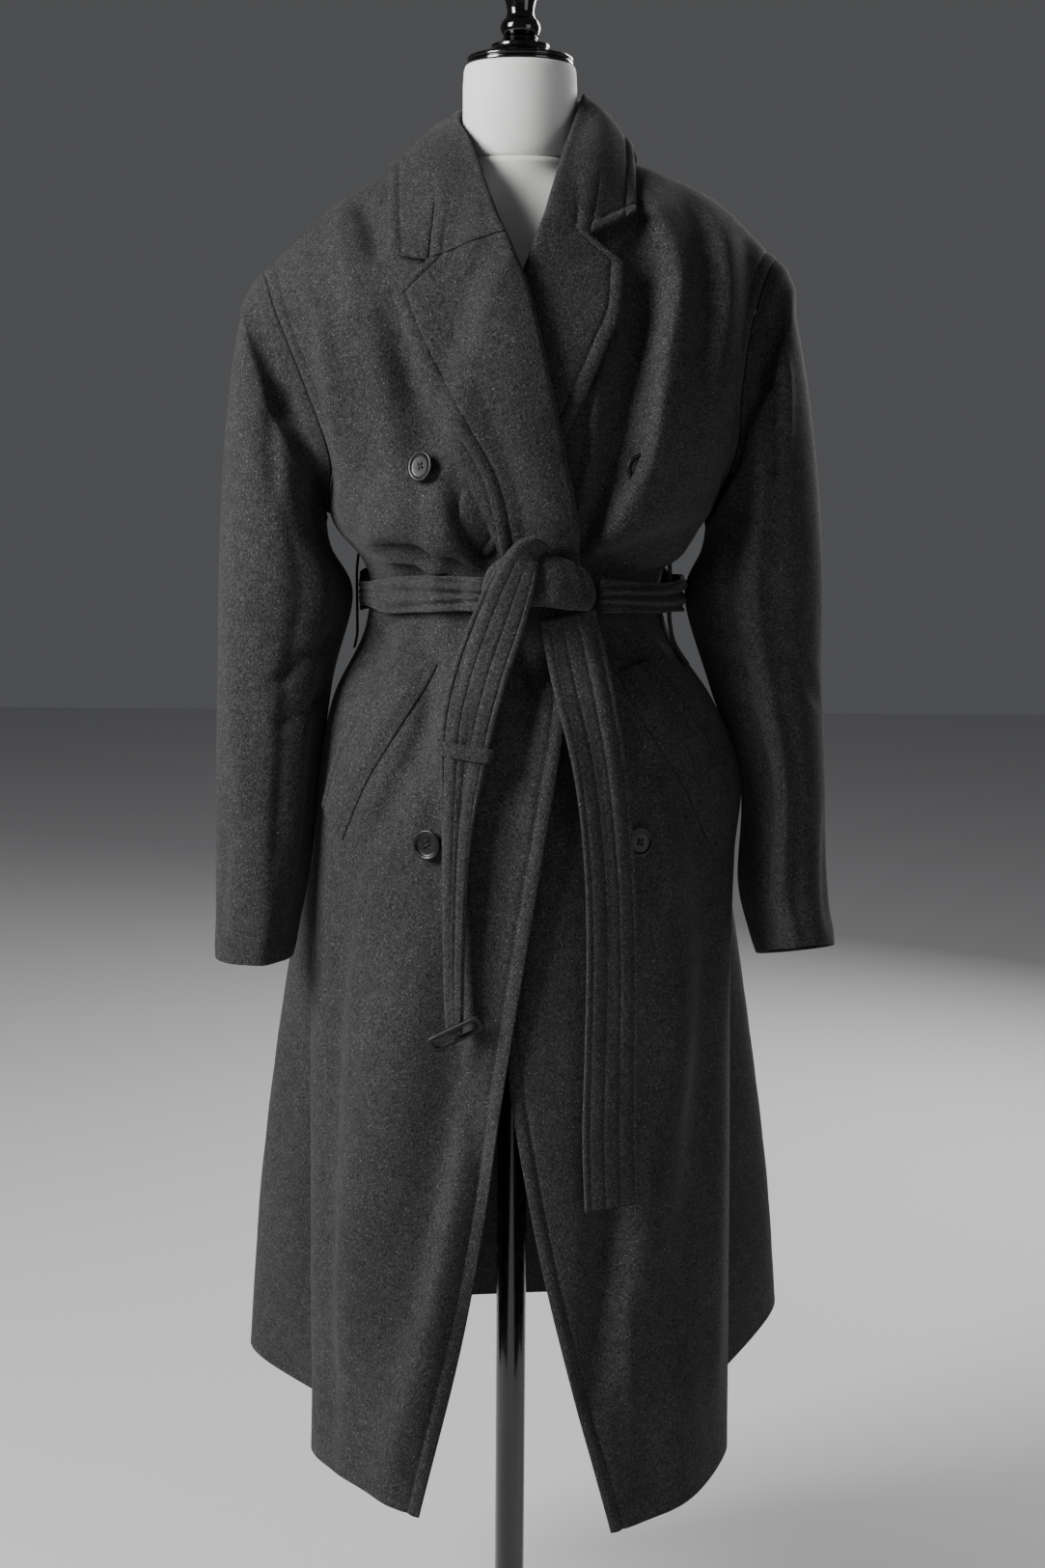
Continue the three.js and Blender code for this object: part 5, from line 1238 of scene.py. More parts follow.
def turned(name, profile, segments=96):
    """A closed body of revolution on the z axis from a profile of [radius, height]."""
    angle = np.arange(segments) / segments * 2 * math.pi
    ring = np.stack([np.cos(angle), np.sin(angle)], -1)
    rings = [np.concatenate([ring * max(r, 0.02), np.full((segments, 1), z)], axis=1)
             for r, z in profile]
    return solid_mesh(name, np.array(rings))


def eased(profile, bend=0.6, steps=3):
    """A profile with each corner rounded off over up to bend of a millimetre."""
    points = [np.array(p, float) for p in profile]
    out = [points[0]]
    for before, corner, after in zip(points, points[1:], points[2:]):
        a = min(bend, 0.45 * np.linalg.norm(before - corner))
        b = min(bend, 0.45 * np.linalg.norm(after - corner))
        start = corner + unit(before - corner) * a
        end = corner + unit(after - corner) * b
        for t in np.linspace(0, 1, steps + 1):
            out.append((1 - t) ** 2 * start + 2 * t * (1 - t) * corner + t ** 2 * end)
    out.append(points[-1])
    return out


def knot():
    """The knot: a flattened roll of the belt, wrapped once over itself."""
    rows = np.array([[row[key] for key in ("x", "y", "z", "high", "deep")] for row in KNOT_ROWS],
                    float)
    k = np.concatenate([[0, 0.01, 0.03, 0.07], np.linspace(0.12, len(rows) - 1.12, 120),
                        len(rows) - 1 - np.array([0.07, 0.03, 0.01, 0])])
    x, y, z, high, deep = table_curve(np.arange(len(rows)), rows)(k).T[:, :, None]
    angle = np.arange(144)[None] / 144 * 2 * math.pi
    up = np.sin(angle)
    back = np.cos(angle)
    fold = 0
    for from_x, lean, width, depth in KNOT_FOLDS:
        fold = fold + depth * bell((x - from_x - lean * up) / width)
    fold = fold + 0.9 * np.sin(x / 17 + 1.6 * up)
    end = np.minimum(k, len(rows) - 1 - k)[:, None]
    close = np.sqrt(np.clip(1 - np.square(1 - np.clip(end / 0.5, 0, 1)), 0.02, 1))
    fold = fold * smooth(0.1, 0.7, end)
    ring_y = y + (deep * close + fold) * np.sign(back) * np.abs(back) ** 0.72
    ring_z = z + (high * close + fold) * np.sign(up) * np.abs(up) ** 0.86
    return np.stack([np.broadcast_to(x, ring_y.shape), ring_y, ring_z], -1)


# Folds of the knot: x at its middle, how far they lean on the way up, width and depth.
KNOT_FOLDS = ((-14, 9, 3.2, -2.6), (-6, 10, 4.5, 1.8), (52, -10, 9, -0.9), (66, -8, 3.4, -1.6))

KEEPER = {"from": 4.46, "to": 4.78, "spare": 1.6, "thick": 1.8}
BUCKLE_TAIL_WALL = 7
OVER_THE_KNOT = [{"at": (26, 1231), "half": 9, "off": 34}, {"at": (18, 1235), "half": 13, "off": 48}]
ROUND_THE_BAR = [{"at": (-54, 783), "half": 7, "off": 18}]


def keeper():
    """The cloth ring round the buckle tail: its outer and inner faces."""
    knots = np.arange(len(BUCKLE_TAIL))
    places = KEEPER["from"] + (KEEPER["to"] - KEEPER["from"]) * np.array(
        [0, 0.03, 0.08, 0.16, 0.3, 0.42, 0.5, 0.58, 0.7, 0.84, 0.92, 0.97, 1])
    at = table_curve(knots, [row["at"] for row in BUCKLE_TAIL])(places)
    half = table_curve(knots, [row["half"] for row in BUCKLE_TAIL])(places)
    off = table_curve(knots, [row["off"] for row in BUCKLE_TAIL])(places)
    z = at[:, 1]
    angle = np.arange(96) / 96 * 2 * math.pi
    wide = np.sign(np.cos(angle)) * np.abs(np.cos(angle)) ** 0.35
    deep = np.sign(np.sin(angle)) * np.abs(np.sin(angle)) ** 0.45
    run = (places - places[0]) * 45
    rim = np.minimum(run, run[-1] - run)
    puff = round_off(rim, 1.4)

    def face(grow):
        x = at[:, :1] + wide[None] * (half + grow)[:, None]
        reach_x = np.clip(x, at[:, :1] - half[:, None], at[:, :1] + half[:, None])
        u, reach = front_at(reach_x, np.broadcast_to(z[:, None], x.shape))
        back = front_sheet(u, reach)[..., 1] - off[:, None]
        y = back - BUCKLE_TAIL_WALL / 2 + deep[None] * (BUCKLE_TAIL_WALL / 2 + grow[:, None])
        slope = -0.14 * (x - at[:, :1])
        return np.stack([x, y, z[:, None] + slope], -1)

    middle = KEEPER["spare"] + KEEPER["thick"] / 2
    half_wall = KEEPER["thick"] / 2
    return face(middle + half_wall * puff), face(middle - half_wall * puff)


BUCKLE_SIZE = {"wide": 54, "high": 21, "rim": 4.5, "bar": 4, "thick": 4, "tilt": 0.46, "lean": -0.6}
BUCKLE_PLACE = {"at": (-53, 784), "off": 21}


def buckle_mesh(name):
    """A rectangular frame with soft corners, and its middle bar."""
    wide, high, rim = BUCKLE_SIZE["wide"], BUCKLE_SIZE["high"], BUCKLE_SIZE["rim"]
    thick, bar = BUCKLE_SIZE["thick"], BUCKLE_SIZE["bar"]
    turn = np.arange(160) / 160 * 2 * math.pi
    round_x = np.sign(np.cos(turn)) * np.abs(np.cos(turn)) ** 0.22
    round_z = np.sign(np.sin(turn)) * np.abs(np.sin(turn)) ** 0.3
    section = np.arange(16) / 16 * 2 * math.pi
    in_out = (rim / 2) * np.sign(np.cos(section)) * np.abs(np.cos(section)) ** 0.6
    depth = (thick / 2) * np.sign(np.sin(section)) * np.abs(np.sin(section)) ** 0.6
    x = round_x[:, None] * (wide / 2 - rim / 2 + in_out[None])
    z = round_z[:, None] * (high / 2 - rim / 2 + in_out[None])
    frame_points = np.stack([x, np.broadcast_to(depth[None], x.shape), z], -1)
    index = np.arange(160 * 16).reshape(160, 16)
    a, b = index, np.roll(index, -1, axis=1)
    c, d = np.roll(b, -1, axis=0), np.roll(a, -1, axis=0)
    faces = np.stack([a, d, c, b], -1).reshape(-1, 4)
    bar_z = np.linspace(-high / 2 + rim * 0.6, high / 2 - rim * 0.6, 9)
    bar_rings = np.stack([
        np.broadcast_to(bar / 2 * np.cos(section)[None], (9, 16)),
        np.broadcast_to(thick * 0.42 * np.sin(section)[None], (9, 16)),
        np.broadcast_to(bar_z[:, None], (9, 16))], -1)
    tilt, lean = BUCKLE_SIZE["tilt"], BUCKLE_SIZE["lean"]
    leaned = np.array([[1, 0, 0], [0, math.cos(lean), math.sin(lean)],
                       [0, -math.sin(lean), math.cos(lean)]])
    turned_by = np.array([[math.cos(tilt), 0, -math.sin(tilt)], [0, 1, 0],
                          [math.sin(tilt), 0, math.cos(tilt)]]) @ leaned
    x0, z0 = BUCKLE_PLACE["at"]
    u, reach = front_at(x0, z0)
    centre = np.array([x0, front_sheet(u, reach)[1] - BUCKLE_PLACE["off"], z0])
    bar_index = np.arange(9 * 16).reshape(9, 16) + 160 * 16
    a, b = bar_index[:-1], np.roll(bar_index, -1, axis=1)[:-1]
    c, d = np.roll(bar_index, -1, axis=1)[1:], bar_index[1:]
    bar_faces = np.stack([a, b, c, d], -1).reshape(-1, 4)
    points = np.concatenate([frame_points.reshape(-1, 3), bar_rings.reshape(-1, 3)])
    points = (points @ turned_by.T + centre) * MM
    face_list = faces.tolist() + bar_faces.tolist()
    face_list += [bar_index[0][::-1].tolist(), bar_index[-1].tolist()]
    mesh = bpy.data.meshes.new(name)
    mesh.from_pydata(points.tolist(), [], face_list)
    mesh.shade_smooth()
    return mesh


# ---- buttons ----------------------------------------------------------------------------------

HOLE_RADIUS = 1.15
HOLE_OUT = 2.7
BUTTON_PROFILE = (
    (0.5, 0), (11.2, 0), (13.4, 1.0), (14.3, 2.4), (14.5, 3.4), (13.9, 4.3), (12.7, 4.5),
    (11.4, 4.1), (10.4, 3.2), (9.2, 2.9), (5.4, 2.8), (0.5, 2.8),
)


def button_mesh(name, centre, normal, twist):
    """A four-hole button with a raised rim, sewn on with crossed thread."""
    rings = eased(BUTTON_PROFILE, bend=0.9)
    fine = []
    for a, b in zip(rings, rings[1:]):
        steps = max(1, int(np.linalg.norm(b - a) / 0.35))
        fine += [mix(a, b, t) for t in np.arange(steps) / steps]
    fine.append(rings[-1])
    fine = np.array(fine)
    segments = 96
    angle = np.arange(segments) / segments * 2 * math.pi
    x = fine[:, :1] * np.cos(angle)[None]
    y = fine[:, :1] * np.sin(angle)[None]
    z = np.broadcast_to(fine[:, 1:], x.shape).copy()
    on_face = z > 2.6
    for k in range(4):
        turn = math.pi / 4 + k * math.pi / 2
        away = np.hypot(x - HOLE_OUT * math.cos(turn), y - HOLE_OUT * math.sin(turn))
        z -= np.where(on_face, 1.9 * (1 - smooth(HOLE_RADIUS - 0.35, HOLE_RADIUS + 0.2, away)), 0)
    body = solid_mesh(name, np.stack([x, y, z], -1))
    thread_rings = []
    for turn in (math.pi / 4, 3 * math.pi / 4):
        t = np.linspace(-1, 1, 15)[:, None]
        around = np.arange(8)[None] / 8 * 2 * math.pi
        along = t * HOLE_OUT
        rise = 2.35 + 1.0 * (1 - t ** 4) + 0.35 * np.sin(around)
        aside = 0.55 * np.cos(around)
        thread_rings.append(np.stack([
            along * math.cos(turn) - aside * math.sin(turn),
            along * math.sin(turn) + aside * math.cos(turn),
            np.broadcast_to(rise, (15, 8))], -1))
    parts = [body] + [solid_mesh(name + "_thread", rings) for rings in thread_rings]
    points, faces, thread = [], [], []
    for part_no, part in enumerate(parts):
        start = len(points)
        points += [v.co.copy() for v in part.vertices]
        faces += [[start + v for v in polygon.vertices] for polygon in part.polygons]
        thread += [part_no > 0] * len(part.polygons)
    for part in parts:
        bpy.data.meshes.remove(part)
    facing = Vector(normal).to_track_quat("Z", "Y").to_matrix()
    place_at = Vector(centre) * MM
    spin = np.array([[math.cos(twist), -math.sin(twist)], [math.sin(twist), math.cos(twist)]])
    placed = []
    for p in points:
        px, py = spin @ (p.x, p.y)
        placed.append(tuple(place_at + facing @ Vector((px, py, p.z))))
    mesh = bpy.data.meshes.new(name)
    mesh.from_pydata(placed, [], faces)
    mesh.polygons.foreach_set("material_index", np.array(thread, int))
    mesh.shade_smooth()
    return mesh


def button_seat(button):
    x, z = button["at"]
    u, reach = front_at(x, z)
    lift = right_lift if x < 0 else no_lift

    def cloth(du, dv):
        across, up = np.array(u + du), np.array(reach + dv)
        return plain_front_point(across, up, WALL + lift(across, up))[0]

    along = cloth(0.015, 0) - cloth(-0.015, 0)
    up = cloth(0, 8) - cloth(0, -8)
    normal = unit(np.cross(along, up))
    return cloth(0, 0) + normal * button["shank"], normal


# ---- welts, carriers, form and stand ----------------------------------------------------------

WELT_RISE = 3.6         # how far a welt's outer edge stands off the cloth
WELT_WALL = 2.0


def welt(rows, lift):
    knots = np.arange(len(rows))
    k = np.concatenate([[0, 0.01, 0.03, 0.06], np.linspace(0.1, len(rows) - 1.1, 70),
                        len(rows) - 1 - np.array([0.06, 0.03, 0.01, 0])])
    outer_edge = table_curve(knots, [row["outer"] for row in rows])(k)
    inner_edge = table_curve(knots, [row["inner"] for row in rows])(k)
    a = front_at(outer_edge[:, 0], outer_edge[:, 1])
    b = front_at(inner_edge[:, 0], inner_edge[:, 1])
    width = np.linalg.norm(front_sheet(*a) - front_sheet(*b), axis=-1)
    places = np.array([spaced(w, BEAD, BEAD, 22) for w in width])
    t = places / width[:, None]
    u = mix(a[0][:, None], b[0][:, None], t)
    reach = mix(a[1][:, None], b[1][:, None], t)
    from_inner = width[:, None] - places
    from_edge = np.minimum(places, from_inner)
    lower = 3.6 * (1 - smooth(0, 15, from_inner)) + 1.4 * (1 - round_off(places, 3))
    middle, normal = front_point(u, reach, lift(u, reach) + WALL + WELT_RISE + WELT_WALL / 2
                                 - lower + groove(places - 9))
    step = np.linalg.norm(np.diff(middle, axis=0), axis=2)
    run = np.concatenate([np.zeros((1, u.shape[1])), np.cumsum(step, axis=0)])
    rim = np.minimum(from_edge, np.minimum(run, run[-1:] - run))
    outer, inner = layers(middle, normal, WELT_WALL, round_off(rim, 1.4))
    return outer, inner, np.stack([run, np.abs(places - 9)], -1)


LOOP_HALF = 4.5
LOOP_WALL = 2


def belt_loop(loop):
    """A narrow belt loop at the side, its ends turned in against the coat."""
    rows = np.array(loop["rows"], float)[::-1]
    bottom, top = rows[0, 0], rows[-1, 0]
    z = np.concatenate([bottom + np.array([0, 0.4, 1.2]), np.linspace(bottom + 2.5, top - 2.5, 60),
                        top - np.array([1.2, 0.4, 0])])
    out = table_curve(rows[:, 0], rows[:, 1])(z)
    waist = REACH[WAIST]
    at = front_sheet(loop["u"], waist)
    aside = front_sheet(loop["u"] + 0.005, waist) - front_sheet(loop["u"] - 0.005, waist)
    aside = unit(aside * (1, 1, 0))
    outward = np.array([aside[1], -aside[0], 0])
    across = spaced(2 * LOOP_HALF, (0, 0.3, 0.8, 1.5), (0, 0.3, 0.8, 1.5), 8) - LOOP_HALF
    bow = -0.4 * bell(across / 1.4)
    stand = out[:, None] + LOOP_WALL / 2 + bow[None]
    middle = (at * (1, 1, 0) + stand[..., None] * outward
              + across[None, :, None] * aside + z[:, None, None] * np.array([0, 0, 1]))
    normal = np.broadcast_to(outward, middle.shape)
    ends = np.minimum(z - z[0], z[-1] - z)[:, None]
    rim = np.minimum(LOOP_HALF - np.abs(across)[None], ends)
    return layers(middle, normal, LOOP_WALL, round_off(rim, 1.0))


def torso_rings():
    rows = np.array([[row[key] for key in ("half", "front", "back", "square")]
                     for row in TORSO_ROWS], float)
    heights = np.array([row["z"] for row in TORSO_ROWS], float)
    z = np.concatenate([[TORSO_BOTTOM, TORSO_BOTTOM + 0.8, TORSO_BOTTOM + 2.4],
                        np.linspace(TORSO_BOTTOM + 6, heights[-1], 120)])
    half, front, back, square = table_curve(heights, rows)(z).T[:, :, None]
    inset = 4 * (1 - round_off(z - z[0] + 0.01, 5))[:, None]
    angle = np.arange(112)[None] / 112 * 2 * math.pi
    c, s = np.cos(angle), np.sin(angle)
    power = 2 / square
    depth = np.where(s > 0, back, front)
    return np.stack([(half - inset) * np.sign(c) * np.abs(c) ** power,
                     (depth - inset) * np.sign(s) * np.abs(s) ** power,
                     np.broadcast_to(z[:, None], (len(z), 112))], -1)


NECK_PROFILE = (
    (0, NECK_BOTTOM), (NECK_RADIUS - 1, NECK_BOTTOM), (NECK_RADIUS + 0.6, NECK_BOTTOM + 12),
    (NECK_RADIUS + 1, 1640), (NECK_RADIUS + 1, 1672), (NECK_RADIUS, NECK_TOP - 5),
    (NECK_RADIUS - 2, NECK_TOP), (0, NECK_TOP),
)
CAP_PROFILE = (
    (0, 1692.4), (51, 1692.4), (51, 1695), (49.6, 1696), (51, 1697), (51, 1698.6), (49, 1700.4),
    (42, 1702), (31, 1706), (28.4, 1708), (28, 1711), (24, 1712.5), (20, 1714), (17.6, 1716),
    (17, 1718), (0, 1718),
)
FINIAL_PROFILE = (
    (0, 1718.4), (15, 1718.4), (17.5, 1721), (19, 1724), (19.4, 1727), (19, 1730), (17, 1733.5),
    (14.4, 1736), (13, 1740), (13.2, 1745), (14.6, 1751), (17, 1758), (18.6, 1764), (19, 1770),
    (18.4, 1776), (16, 1784), (12.4, 1789.5), (8, 1793), (4, 1794.6), (0, 1795),
)
POLE_PROFILE = (
    (0, BASE_HEIGHT + 0.4), (POLE_RADIUS, BASE_HEIGHT + 0.4), (POLE_RADIUS, 420),
    (POLE_RADIUS, TORSO_BOTTOM - 0.4), (0, TORSO_BOTTOM - 0.4),
)
BASE_PROFILE = (
    (0, 0), (BASE_RADIUS - 2, 0), (BASE_RADIUS, 2.4), (BASE_RADIUS, 8), (BASE_RADIUS - 2.6, 10.4),
    (BASE_RADIUS - 8, 12), (120, 13.6), (40, 16), (31, 18), (26.4, 20.6), (25, BASE_HEIGHT),
    (0, BASE_HEIGHT),
)

# ---- materials --------------------------------------------------------------------------------


class Nodes:
    """Adds nodes to a tree from left to right and links them."""

    def __init__(self, tree):
        self.tree = tree
        self.count = 0

    def add(self, kind, inputs=(), **settings):
        node = self.tree.nodes.new(kind)
        node.location = (self.count % 6 * 220, -(self.count // 6) * 260)
        self.count += 1
        for key, value in settings.items():
            setattr(node, key, value)
        for key, value in dict(inputs).items():
            if isinstance(value, bpy.types.NodeSocket):
                self.tree.links.new(value, node.inputs[key])
            else:
                node.inputs[key].default_value = value
        return node

    def math(self, operation, a, b=0.0, clamp=False):
        return self.add("ShaderNodeMath", {0: a, 1: b}, operation=operation,
                        use_clamp=clamp).outputs[0]

    def range(self, value, low, high, out_low=0.0, out_high=1.0):
        return self.add("ShaderNodeMapRange", {
            "Value": value, "From Min": low, "From Max": high, "To Min": out_low,
            "To Max": out_high}, interpolation_type="SMOOTHSTEP").outputs["Result"]

    def blend(self, part, a, b):
        node = self.add("ShaderNodeMix", data_type="RGBA")
        for key, value in ((0, part), (6, a), (7, b)):
            if isinstance(value, bpy.types.NodeSocket):
                self.tree.links.new(value, node.inputs[key])
            else:
                node.inputs[key].default_value = value
        return node.outputs[2]

    def noise(self, where, scale, detail=2.0, roughness=0.5, distortion=0.0):
        return self.add("ShaderNodeTexNoise", {
            "Vector": where, "Scale": scale, "Detail": detail, "Roughness": roughness,
            "Distortion": distortion}).outputs["Fac"]


def shader_group(name, inputs, outputs):
    """A node group with named sockets; gives the group, its node maker and its input sockets."""
    group = bpy.data.node_groups.new(name, "ShaderNodeTree")
    for socket, kind, value in inputs:
        made = group.interface.new_socket(socket, in_out="INPUT", socket_type=kind)
        made.default_value = value
    for socket, kind in outputs:
        group.interface.new_socket(socket, in_out="OUTPUT", socket_type=kind)
    nodes = Nodes(group)
    given = nodes.add("NodeGroupInput").outputs
    return group, nodes, given


FLOAT = "NodeSocketFloat"
COLOUR = "NodeSocketColor"


def make_melange():
    """Wool dyed in the fibre: dark and light fibres, a fulled face with nap, and soft patches."""
    group, n, given = shader_group(
        "melange wool",
        [("Dark", COLOUR, (0.01, 0.01, 0.01, 1)), ("Light", COLOUR, (0.05, 0.05, 0.05, 1)),
         ("Fleck", COLOUR, (0.2, 0.2, 0.2, 1)), ("Fleck amount", FLOAT, 0.5)],
        [("Color", COLOUR), ("Roughness", FLOAT), ("Height", FLOAT)])
    where = n.add("ShaderNodeTexCoord").outputs["Object"]
    lay = n.add("ShaderNodeMapping", {"Vector": where, "Scale": (1.0, 1.0, 0.62),
                                      "Rotation": (0.1, 0.2, 0.35)}).outputs[0]
    fibre = n.noise(lay, 820.0, 3.0, 0.62, 0.4)
    clump = n.noise(where, 330.0, 2.0, 0.55, 0.6)
    cloud = n.noise(where, 70.0, 2.0, 0.5)
    patch = n.noise(where, 9.0, 2.0, 0.5)
    tone = n.math("MULTIPLY_ADD", fibre, 0.9)
    tone.node.inputs[2].default_value = -0.2
    tone = n.math("ADD", tone, n.math("MULTIPLY", clump, 0.5))
    tone = n.range(tone, 0.2, 0.78)
    base = n.blend(tone, given["Dark"], given["Light"])
    speck = n.noise(lay, 1250.0, 1.0, 0.4, 0.8)
    speck = n.math("MULTIPLY", n.range(speck, 0.66, 0.74), given["Fleck amount"])
    base = n.blend(speck, base, given["Fleck"])
    shade = n.math("ADD", n.range(cloud, 0.3, 0.7, 0.9, 1.08),
                   n.range(patch, 0.3, 0.7, -0.08, 0.08))
    colour = n.add("ShaderNodeVectorMath", {0: base}, operation="SCALE")
    n.tree.links.new(shade, colour.inputs["Scale"])
    height = n.math("ADD", n.math("MULTIPLY", fibre, 0.55), n.math("MULTIPLY", clump, 0.75))
    height = n.math("ADD", height, n.math("MULTIPLY", cloud, 0.35))
    n.add("NodeGroupOutput", {"Color": colour.outputs[0],
                              "Roughness": n.range(fibre, 0.3, 0.7, 0.96, 0.84),
                              "Height": height})
    return group


def make_topstitch():
    """Stitches along the thread map: along it in millimetres, and the distance from it."""
    group, n, given = shader_group(
        "topstitching", [("Length", FLOAT, STITCH_LENGTH), ("Thread half", FLOAT, 0.42)],
        [("Thread", FLOAT), ("Pucker", FLOAT)])
    thread_map = n.add("ShaderNodeUVMap", uv_map="thread").outputs["UV"]
    split = n.add("ShaderNodeSeparateXYZ", {0: thread_map})
    along = n.math("FRACT", n.math("DIVIDE", split.outputs["X"], given["Length"]))
    off = n.math("ABSOLUTE", split.outputs["Y"])
    middle = n.math("ABSOLUTE", n.math("SUBTRACT", along, 0.5))
    dash = n.range(middle, 0.3, 0.4, 1.0, 0.0)
    near = n.math("DIVIDE", off, given["Thread half"])
    line = n.range(near, 0.7, 1.25, 1.0, 0.0)
    thread = n.math("MULTIPLY", dash, line)
    wide = n.range(off, 0.0, 3.4, 1.0, 0.0)
    pucker = n.math("MULTIPLY", wide, n.range(middle, 0.1, 0.5, 0.0, -1.0))
    n.add("NodeGroupOutput", {"Thread": thread, "Pucker": pucker})
    return group


def make_worn():
    """Soft wear: hairline scratches and dust that changes roughness and tone."""
    group, n, given = shader_group(
        "handling wear", [("Scale", FLOAT, 60.0), ("Scratches", FLOAT, 0.3)],
        [("Wear", FLOAT), ("Dust", FLOAT), ("Height", FLOAT)])
    where = n.add("ShaderNodeTexCoord").outputs["Object"]
    streaks = n.add("ShaderNodeMapping", {"Vector": where, "Scale": (9.0, 9.0, 1.0),
                                          "Rotation": (0.3, 0.5, 0.2)}).outputs[0]
    lines = n.noise(streaks, given["Scale"], 4.0, 0.6, 0.3)
    wear = n.math("MULTIPLY", n.range(lines, 0.62, 0.7), given["Scratches"])
    dust = n.range(n.noise(where, given["Scale"], 5.0, 0.65), 0.35, 0.75)
    n.add("NodeGroupOutput", {"Wear": wear, "Dust": dust,
                              "Height": n.noise(where, 900.0, 3.0, 0.6)})
    return group


melange = make_melange()
topstitch = make_topstitch()
worn = make_worn()


def start_material(name, **values):
    material = bpy.data.materials.new(name)
    material.use_nodes = True
    n = Nodes(material.node_tree)
    shader = material.node_tree.nodes["Principled BSDF"]
    for key, value in values.items():
        shader.inputs[key.replace("_", " ")].default_value = value
    return material, n, shader


def cloth_material(name, dark, light, fleck, amount, thread_tone, nap=1.0, sheen=0.1):
    """The coat's wool with its topstitching."""
    material, n, shader = start_material(name, Sheen_Weight=sheen, Sheen_Roughness=0.45,
                                         Specular_IOR_Level=0.12)
    shader.inputs["Sheen Tint"].default_value = (0.8, 0.8, 0.82, 1)
    wool = n.add("ShaderNodeGroup", node_tree=melange)
    for key, value in (("Dark", dark), ("Light", light), ("Fleck", fleck),
                       ("Fleck amount", amount)):
        wool.inputs[key].default_value = value
    sewn = n.add("ShaderNodeGroup", node_tree=topstitch)
    sewn.inputs["Length"].default_value = STITCH_LENGTH
    sewn.inputs["Thread half"].default_value = 0.42
    colour = n.blend(sewn.outputs["Thread"], wool.outputs["Color"], thread_tone)
    n.tree.links.new(colour, shader.inputs["Base Color"])
    rough = n.math("SUBTRACT", wool.outputs["Roughness"],
                   n.math("MULTIPLY", sewn.outputs["Thread"], 0.35))
    n.tree.links.new(rough, shader.inputs["Roughness"])
    height = n.math("ADD", n.math("MULTIPLY", wool.outputs["Height"], nap),
                    n.math("MULTIPLY", sewn.outputs["Pucker"], 0.35))
    height = n.math("ADD", height, n.math("MULTIPLY", sewn.outputs["Thread"], 0.25))
    bump = n.add("ShaderNodeBump", {"Strength": 1.0, "Distance": 0.0011, "Height": height})
    n.tree.links.new(bump.outputs["Normal"], shader.inputs["Normal"])
    return material


def hard_material(name, colour, dusty, roughness, scale, scratches, relief=0.0, **values):
    """A smooth finish with light wear."""
    material, n, shader = start_material(name, **values)
    wear = n.add("ShaderNodeGroup", node_tree=worn)
    wear.inputs["Scale"].default_value = scale
    wear.inputs["Scratches"].default_value = scratches
    part = n.math("MULTIPLY", wear.outputs["Dust"], 0.35)
    tone = n.blend(n.math("ADD", part, wear.outputs["Wear"], clamp=True), colour, dusty)
    n.tree.links.new(tone, shader.inputs["Base Color"])
    rough = n.math("ADD", n.range(wear.outputs["Dust"], 0, 1, roughness, roughness + 0.12),
                   n.math("MULTIPLY", wear.outputs["Wear"], 0.3))
    n.tree.links.new(rough, shader.inputs["Roughness"])
    bump = n.add("ShaderNodeBump", {"Strength": 1.0, "Distance": relief or 0.00002,
                                    "Height": wear.outputs["Height"]})
    n.tree.links.new(bump.outputs["Normal"], shader.inputs["Normal"])
    return material


COAT_WOOL = cloth_material(
    "charcoal melange wool", (0.0075, 0.0073, 0.0074, 1), (0.052, 0.051, 0.052, 1),
    (0.23, 0.225, 0.225, 1), 0.75, (0.011, 0.011, 0.011, 1))
BELT_WOOL = cloth_material(
    "belt wool, creased", (0.0075, 0.0073, 0.0074, 1), (0.056, 0.055, 0.056, 1),
    (0.23, 0.225, 0.225, 1), 0.7, (0.012, 0.012, 0.012, 1), nap=0.9, sheen=0.12)
BUTTON_HORN = hard_material(
    "polished black button", (0.004, 0.004, 0.0045, 1), (0.012, 0.012, 0.013, 1), 0.3, 180.0, 0.1,
    Coat_Weight=0.1, Coat_Roughness=0.25, Specular_IOR_Level=0.3)
BUTTON_THREAD = hard_material(
    "button thread", (0.012, 0.012, 0.012, 1), (0.04, 0.04, 0.04, 1), 0.7, 600.0, 0.2,
    relief=0.0002)
BUCKLE_RESIN = hard_material(
    "black buckle", (0.006, 0.006, 0.007, 1), (0.03, 0.03, 0.032, 1), 0.42, 220.0, 0.3,
    Specular_IOR_Level=0.35)
FORM_CLOTH = hard_material(
    "white form cover", (0.8, 0.79, 0.77, 1), (0.66, 0.645, 0.62, 1), 0.62, 26.0, 0.05,
    relief=0.00025, Specular_IOR_Level=0.3)
POLISHED_METAL = hard_material(
    "polished dark chrome", (0.075, 0.074, 0.077, 1), (0.12, 0.12, 0.125, 1), 0.09, 120.0, 0.12,
    Metallic=1.0)
BLACK_ENAMEL = hard_material(
    "gloss black enamel", (0.006, 0.006, 0.0065, 1), (0.02, 0.02, 0.021, 1), 0.2, 50.0, 0.15,
    Coat_Weight=0.6, Coat_Roughness=0.06)

# ---- pieces -----------------------------------------------------------------------------------


def cloth_piece(name, faces, ring=False, material=COAT_WOOL):
    outer, inner = faces[0], faces[1]
    thread = faces[2] if len(faces) > 2 else None
    mesh = wall_mesh(name, outer, inner, ring=ring, thread=thread)
    return place(name + "_cloth", mesh, material, name)


